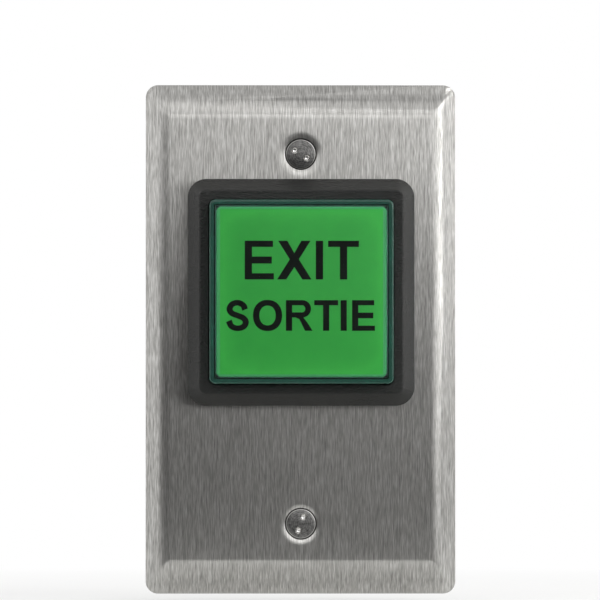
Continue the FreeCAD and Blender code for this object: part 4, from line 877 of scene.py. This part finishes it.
def oval(centre, radii, start=0.0, sweep=360.0, steps=40, fullness=2.0):
    """Points along a super-ellipse."""
    points = []
    for step in range(steps + (sweep < 360.0)):
        turn = math.radians(start + sweep * step / steps)
        cosine, sine = math.cos(turn), math.sin(turn)
        points.append((
            centre[0] + radii[0] * math.copysign(abs(cosine) ** (2 / fullness), cosine),
            centre[1] + radii[1] * math.copysign(abs(sine) ** (2 / fullness), sine),
        ))
    return points


def letter_o(width, height, stem, arm):
    middle, rise = (width / 2, height / 2), height / 2 * 1.02
    return [
        oval(middle, (width / 2, rise), fullness=2.15),
        oval(middle, (width / 2 - stem * 1.04, rise - arm * 1.12), fullness=2.15),
    ]


def letter_r(width, height, stem, arm):
    low = height * 0.435
    rise = (height - low) / 2
    reach = width * 0.94
    middle, inner = (reach - rise, low + rise), (rise - stem * 0.94, rise - arm)
    bowl = oval(middle, (rise, rise), -78.0, 168.0, 24)
    outside = [
        (0, 0), (stem, 0), (stem, low), (width * 0.36, low), (width * 0.50, low * 0.88),
        (width - stem * 1.22, 0), (width, 0),
        (width * 0.80, low * 0.62), (width * 0.66, low * 0.99),
    ]
    hole = [(stem, low + arm)] + oval(middle, inner, -90.0, 180.0, 24) + [(stem, height - arm)]
    return [outside + bowl + [(0, height)], hole]


def letter_s(width, height, stem, arm):
    """A stroke of even width along a double bow."""
    spine = (
        (0.88, 0.46), (0.66, 0.80), (0.06, 0.995), (-0.60, 0.86), (-0.86, 0.50),
        (-0.62, 0.18), (0.04, -0.01), (0.68, -0.20),
        (0.96, -0.52), (0.70, -0.87), (0.02, -1.0), (-0.66, -0.83), (-0.95, -0.42),
    )
    half_x, half_y = (width - stem) / 2 * 0.985, (height - arm * 1.05) / 2 * 1.015
    knots = [Vector((width / 2 + u * half_x, height / 2 + v * half_y)) for u, v in spine]
    padded = [knots[0] * 2 - knots[1]] + knots + [knots[-1] * 2 - knots[-2]]
    line = []
    for before, start, end, after in zip(padded, padded[1:], padded[2:], padded[3:]):
        for step in range(8):
            t = step / 8
            line.append(0.5 * (
                2 * start + (end - before) * t + (2 * before - 5 * start + 4 * end - after) * t ** 2
                + (3 * start - before - 3 * end + after) * t ** 3
            ))
    line.append(knots[-1])
    left, right = [], []
    for i, point in enumerate(line):
        way = (line[min(i + 1, len(line) - 1)] - line[max(i - 1, 0)]).normalized()
        half = (stem * abs(way.y) + arm * 1.08 * abs(way.x)) / (abs(way.x) + abs(way.y)) / 2
        side = Vector((-way.y, way.x)) * half
        left.append(tuple(point + side))
        right.append(tuple(point - side))
    return [left + right[::-1]]


LETTERS = {
    "E": letter_e, "X": letter_x, "I": letter_i, "T": letter_t, "S": letter_s, "O": letter_o,
    "R": letter_r,
}
# Each word: the height of its middle, of its capitals, its upright and level stroke, and its
# letters with the places of their left and right ends from the lens's middle. These and the
# print's thickness are in millimetres.
WORDS = (
    (7.07, 8.66, 1.63, 1.38,
     (("E", -12.71, -6.18), ("X", -5.45, 2.24), ("I", 3.21, 4.84), ("T", 5.97, 12.87))),
    (-5.33, 6.86, 1.38, 1.14,
     (("S", -17.08, -11.67), ("O", -10.86, -4.34), ("R", -3.48, 2.49), ("T", 2.85, 8.19),
      ("I", 8.76, 10.14), ("E", 11.33, 16.43))),
)
PRINT_THICKNESS = 0.04


def make_lettering():
    """Generic words in plain letters, as thin print on the legend."""
    outline = bpy.data.curves.new("legend_print", "CURVE")
    outline.dimensions = "2D"
    outline.fill_mode = "BOTH"
    outline.extrude = PRINT_THICKNESS / 2
    for middle, capital, stem, arm, letters in WORDS:
        for letter, left, right in letters:
            for loop in LETTERS[letter](right - left, capital, stem, arm):
                line = outline.splines.new("POLY")
                line.points.add(len(loop) - 1)
                for point, (across, up) in zip(line.points, loop):
                    point.co = (left + across, middle - capital / 2 + up, 0.0, 1.0)
                line.use_cyclic_u = True
    source = bpy.data.objects.new("legend_print", outline)
    bpy.context.scene.collection.objects.link(source)
    graph = bpy.context.evaluated_depsgraph_get()
    mesh = bpy.data.meshes.new_from_object(source.evaluated_get(graph))
    bpy.data.objects.remove(source)
    front = LEGEND_LOW.y + AIR_GAP
    mesh.transform(
        Matrix.Translation((0.0, front, BUTTON_HEIGHT))
        @ Matrix.Rotation(math.pi / 2, 4, "X")
        @ Matrix.Scale(MM, 4)
    )
    letters = new_piece("legend_letters", mesh, "legend_ink")
    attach(letters, "button")


# Coils and threads


def make_spring():
    """The return spring, wound about the button's axis."""
    wire = 0.37 * MM
    radius = (SPRING_HIGH.x - SPRING_LOW.x) / 2 - wire - 0.03 * MM
    long = SPRING_HIGH.y - SPRING_LOW.y
    spring = wind(
        "coil_spring", "spring_steel", Radius=radius, Turns=7.0, Length=long - 2 * wire, Wire=wire,
        Start=SPRING_LOW.y + wire, Height=BUTTON_HEIGHT, Sides=12, Steps=48,
    )
    stand_for(spring, "return_spring")
    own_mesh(spring)


def make_barrel_thread():
    """The ridge on the barrel behind the nut."""
    length, pitch = 10.5 * MM, 1.5 * MM
    thread = wind(
        "barrel_thread", "black_bezel_plastic",
        Radius=BARREL_HALF - 0.1 * MM, Turns=length / pitch, Length=length, Wire=0.5 * MM,
        Start=NUT_HIGH.y + 0.3 * MM, Height=BUTTON_HEIGHT, Sides=4, Steps=64,
    )
    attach(thread, "base")


def build_arch(work):
    """A thin strip bent to an arc, cut level at both feet, with its edges broken."""
    thick, broken = 0.2 * MM, 0.03 * MM
    left, right = ARCH_LOW.x, ARCH_HIGH.x
    half, rise = (ARCH_HIGH.z - ARCH_LOW.z) / 2, ARCH_HIGH.y - ARCH_LOW.y
    outer = (half * half + rise * rise) / (2 * rise)
    section = (
        (left, broken), (left + broken, 0.0), (right - broken, 0.0), (right, broken),
        (right, thick - broken), (right - broken, thick), (left + broken, thick),
        (left, thick - broken),
    )
    steps = 40
    rings = []
    for step in range(steps + 1):
        ring = []
        for across, depth in section:
            radius = outer - depth
            turn = math.acos((outer - rise) / radius) * (2 * step / steps - 1)
            ring.append((
                across,
                ARCH_LOW.y + outer - radius * math.cos(turn),
                ARCH_LOW.z + half + radius * math.sin(turn),
            ))
        rings.append(ring)
    stack_rings(work, rings)


def make_arched_spring():
    """The arched snap spring, a strip bent to an arc."""
    mesh = mesh_from("arched_spring", build_arch)
    arch = stand_for(new_piece("arched_spring", mesh, "brass"), "snap_spring")
    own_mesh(arch)


def build_dome(work):
    """The lamp's bulb: a round front on a straight collar."""
    collar = 4.4 * MM
    radius = DOME_HIGH.x
    shoulder, tip = DOME_HIGH.y - collar, DOME_LOW.y
    rings = []
    for step in range(1, 13):
        turn = math.pi / 2 * step / 12
        rings.append((radius * math.sin(turn), shoulder - (shoulder - tip) * math.cos(turn)))
    rings.append((radius, DOME_HIGH.y))
    stack_rings(work, [round_ring(half, y, (0.0, BUTTON_HEIGHT)) for half, y in rings])


def make_bulb():
    bulb = new_piece("lamp_bulb", mesh_from("lamp_bulb", build_dome), "lamp_resin")
    stand_for(bulb, "led_lamp_dome")


make_plate()
make_screws()
make_lens()
make_legend()
make_lettering()
make_spring()
make_arched_spring()
make_barrel_thread()
make_bulb()
# The bezel's sloping rim meets its front at a flat angle, which is rounded too.
soften("bezel_housing", "bezel_moulding", 0.14, angle=22.0)
soften("panel_nut", "ribbed_nut", 0.15)
soften("plunger", "plunger_moulding", 0.12)
soften("lamp_holder", "holder_moulding", 0.12)
soften("switch_case", "case_moulding", 0.12)
soften("switch_cover", "cover_moulding", 0.1)

# The other CAD nodes keep their own meshes.
for node, piece in frame["nodes"].items():
    if not piece.hide_render:
        piece.data.materials.clear()
        piece.data.materials.append(FINISHES[SLOT_OF[node]])

# Stage: a pale floor, the sky, soft lamps and the photograph's camera

IMAGE_SIDE = 600
PIXELS_A_METRE = 4420.0
PLATE_MIDDLE_PIXEL = (300.5, 339.2)
CAMERA_DISTANCE = 1.5
CAMERA_TURN, CAMERA_RISE = math.radians(-0.8), math.radians(-1.2)
SENSOR = 36.0  # millimetres, as cameras give it
# The sky's grey levels, from in front of the part to behind it, leaning a little to the left,
# and from the horizon to overhead.
SKY_BEHIND = ((0.0, 0.05), (0.18, 0.08), (0.42, 0.22), (0.55, 0.46), (0.68, 1.15), (1.0, 1.3))
SKY_OVERHEAD = (
    (0.0, 0.055), (0.18, 0.06), (0.36, 0.55), (0.5, 0.92),
    (0.7, 0.85), (0.87, 0.95), (0.97, 0.85), (1.0, 0.3),
)
SKY_LEAN = 0.23
FLOOR_GAP, FLOOR_RADIUS, FLOOR_MIDDLE = 0.0015, 1.0, (0.0, 0.6)
# Where the floor turns from dim to pale, going back, and from pale to white, going outwards.
FLOOR_DIM_EDGE, FLOOR_FADE = (-0.10, -0.035), (0.1, 0.38)
# Each lamp: its place, what it aims at, its width and height, and its power in watts.
LAMPS = {
    "front_panel": ((0.08, -0.60, 0.17), (0.08, 0.0, 0.17), (0.46, 0.23), 0.40),
    "left_upper": ((-0.50, -0.32, 0.19), (0.0, 0.0, 0.19), (0.50, 0.25), 0.39),
    "right_front": ((0.52, -0.42, 0.135), (0.0, 0.0, 0.135), (0.62, 0.37), 1.16),
    "right_strip": ((0.45, -0.08, 0.18), (0.0, -0.08, 0.08), (0.035, 0.37), 0.72),
    "key": ((0.45, -0.50, 0.50), (0.0, 0.0, 0.0), (0.28, 0.28), 0.65),
}


def stage_material():
    """A pale floor, which the camera sees fade to plain white away from the part.

    The light and the reflections find it dim in front of the part.
    """
    pale = Finish("stage_white", Roughness=0.9)
    paint = pale.noise(pale.place(), scale=0.01)
    across, depth, _ = pale.place((MM, MM, MM)).apart()
    front = pale.spread(depth + paint * 0.02, 0.0, 1.0, *FLOOR_DIM_EDGE)
    seen = pale.node("ShaderNodeLightPath", output="Is Camera Ray")
    front = pale.math_of("MAXIMUM", front, seen)
    body = pale.give(Base_Color=pale.blend(front, (0.10, 0.10, 0.10), (0.82, 0.82, 0.81)))
    fade = pale.spread((across * across + depth * depth) ** 0.5, 0.45, 1.0, *FLOOR_FADE)
    white = pale.node("ShaderNodeEmission", {}, {"Color": WHITE, "Strength": 1.0})
    pale.lay_over(seen * fade, white)
    return body


def make_stage():
    """A round floor just under the part, mostly behind it."""
    work = bmesh.new()
    level = PLATE_LOW.z - FLOOR_GAP
    rim = round_ring(FLOOR_RADIUS, 0.0, FLOOR_MIDDLE, 64)
    work.faces.new([work.verts.new((across, depth, level)) for across, _, depth in rim])
    mesh = bpy.data.meshes.new("floor")
    work.to_mesh(mesh)
    work.free()
    floor = bpy.data.objects.new("floor", mesh)
    bpy.context.scene.collection.objects.link(floor)
    mesh.materials.append(stage_material())


def make_sky():
    """Soft light: pale behind, overhead and to the left, dim in front. The camera sees white."""
    world = bpy.data.worlds.new("studio")
    bpy.context.scene.world = world
    world.use_nodes = True
    sky = Shading(world.node_tree)
    across, depth, up = sky.node("ShaderNodeTexCoord", output="Generated").apart()
    place = sky.spread(depth - across * SKY_LEAN, 0.0, 1.0, -1.0, 1.0)

    def levels(stops, along):
        greys = [(stop, (level,) * 3) for stop, level in stops]
        return sky.node("ShaderNodeValToRGB", {"stops": greys}, {0: along})

    behind = levels(SKY_BEHIND, place)
    overhead = levels(SKY_OVERHEAD, up) * sky.spread(depth, 1.0, 0.3, -0.2, 0.1)
    level = sky.math_of("MAXIMUM", behind, overhead)
    light = sky.node("ShaderNodeBackground", {}, {"Color": level, "Strength": 1.0})
    white = sky.node("ShaderNodeBackground", {}, {"Color": WHITE, "Strength": 1.0})
    seen = sky.node("ShaderNodeLightPath", output="Is Camera Ray")
    chosen = sky.node("ShaderNodeMixShader", {}, {0: seen, 1: light, 2: white})
    sky.feed(sky.tree.nodes["World Output"].inputs["Surface"], chosen)


def add_lamp(name, place, aim, size, power):
    """A soft square-cornered lamp of white light."""
    light = bpy.data.lights.new(name, "AREA")
    light.shape = "RECTANGLE"
    light.size, light.size_y = size
    light.energy = power
    lamp = bpy.data.objects.new(name, light)
    lamp.location = place
    lamp.rotation_euler = (Vector(aim) - Vector(place)).to_track_quat("-Z", "Y").to_euler()
    bpy.context.scene.collection.objects.link(lamp)


def make_camera():
    """The photograph's camera: a little from the left and below, with a long lens."""
    view = bpy.data.cameras.new("camera")
    view.sensor_width = SENSOR
    view.lens = SENSOR * CAMERA_DISTANCE * PIXELS_A_METRE / IMAGE_SIDE
    view.clip_end = 20.0
    camera = bpy.data.objects.new("camera", view)
    half = IMAGE_SIDE / 2
    target = Vector((
        (half - PLATE_MIDDLE_PIXEL[0]) / PIXELS_A_METRE, 0.0,
        (PLATE_MIDDLE_PIXEL[1] - half) / PIXELS_A_METRE,
    ))
    way = Vector((
        math.sin(CAMERA_TURN) * math.cos(CAMERA_RISE),
        -math.cos(CAMERA_TURN) * math.cos(CAMERA_RISE),
        math.sin(CAMERA_RISE),
    ))
    camera.location = target + way * CAMERA_DISTANCE
    camera.rotation_euler = (-way).to_track_quat("-Z", "Y").to_euler()
    bpy.context.scene.collection.objects.link(camera)
    bpy.context.scene.camera = camera


make_stage()
make_sky()
for lamp_name, lamp_settings in LAMPS.items():
    add_lamp(lamp_name, *lamp_settings)
make_camera()
bpy.context.scene.view_settings.view_transform = "Standard"
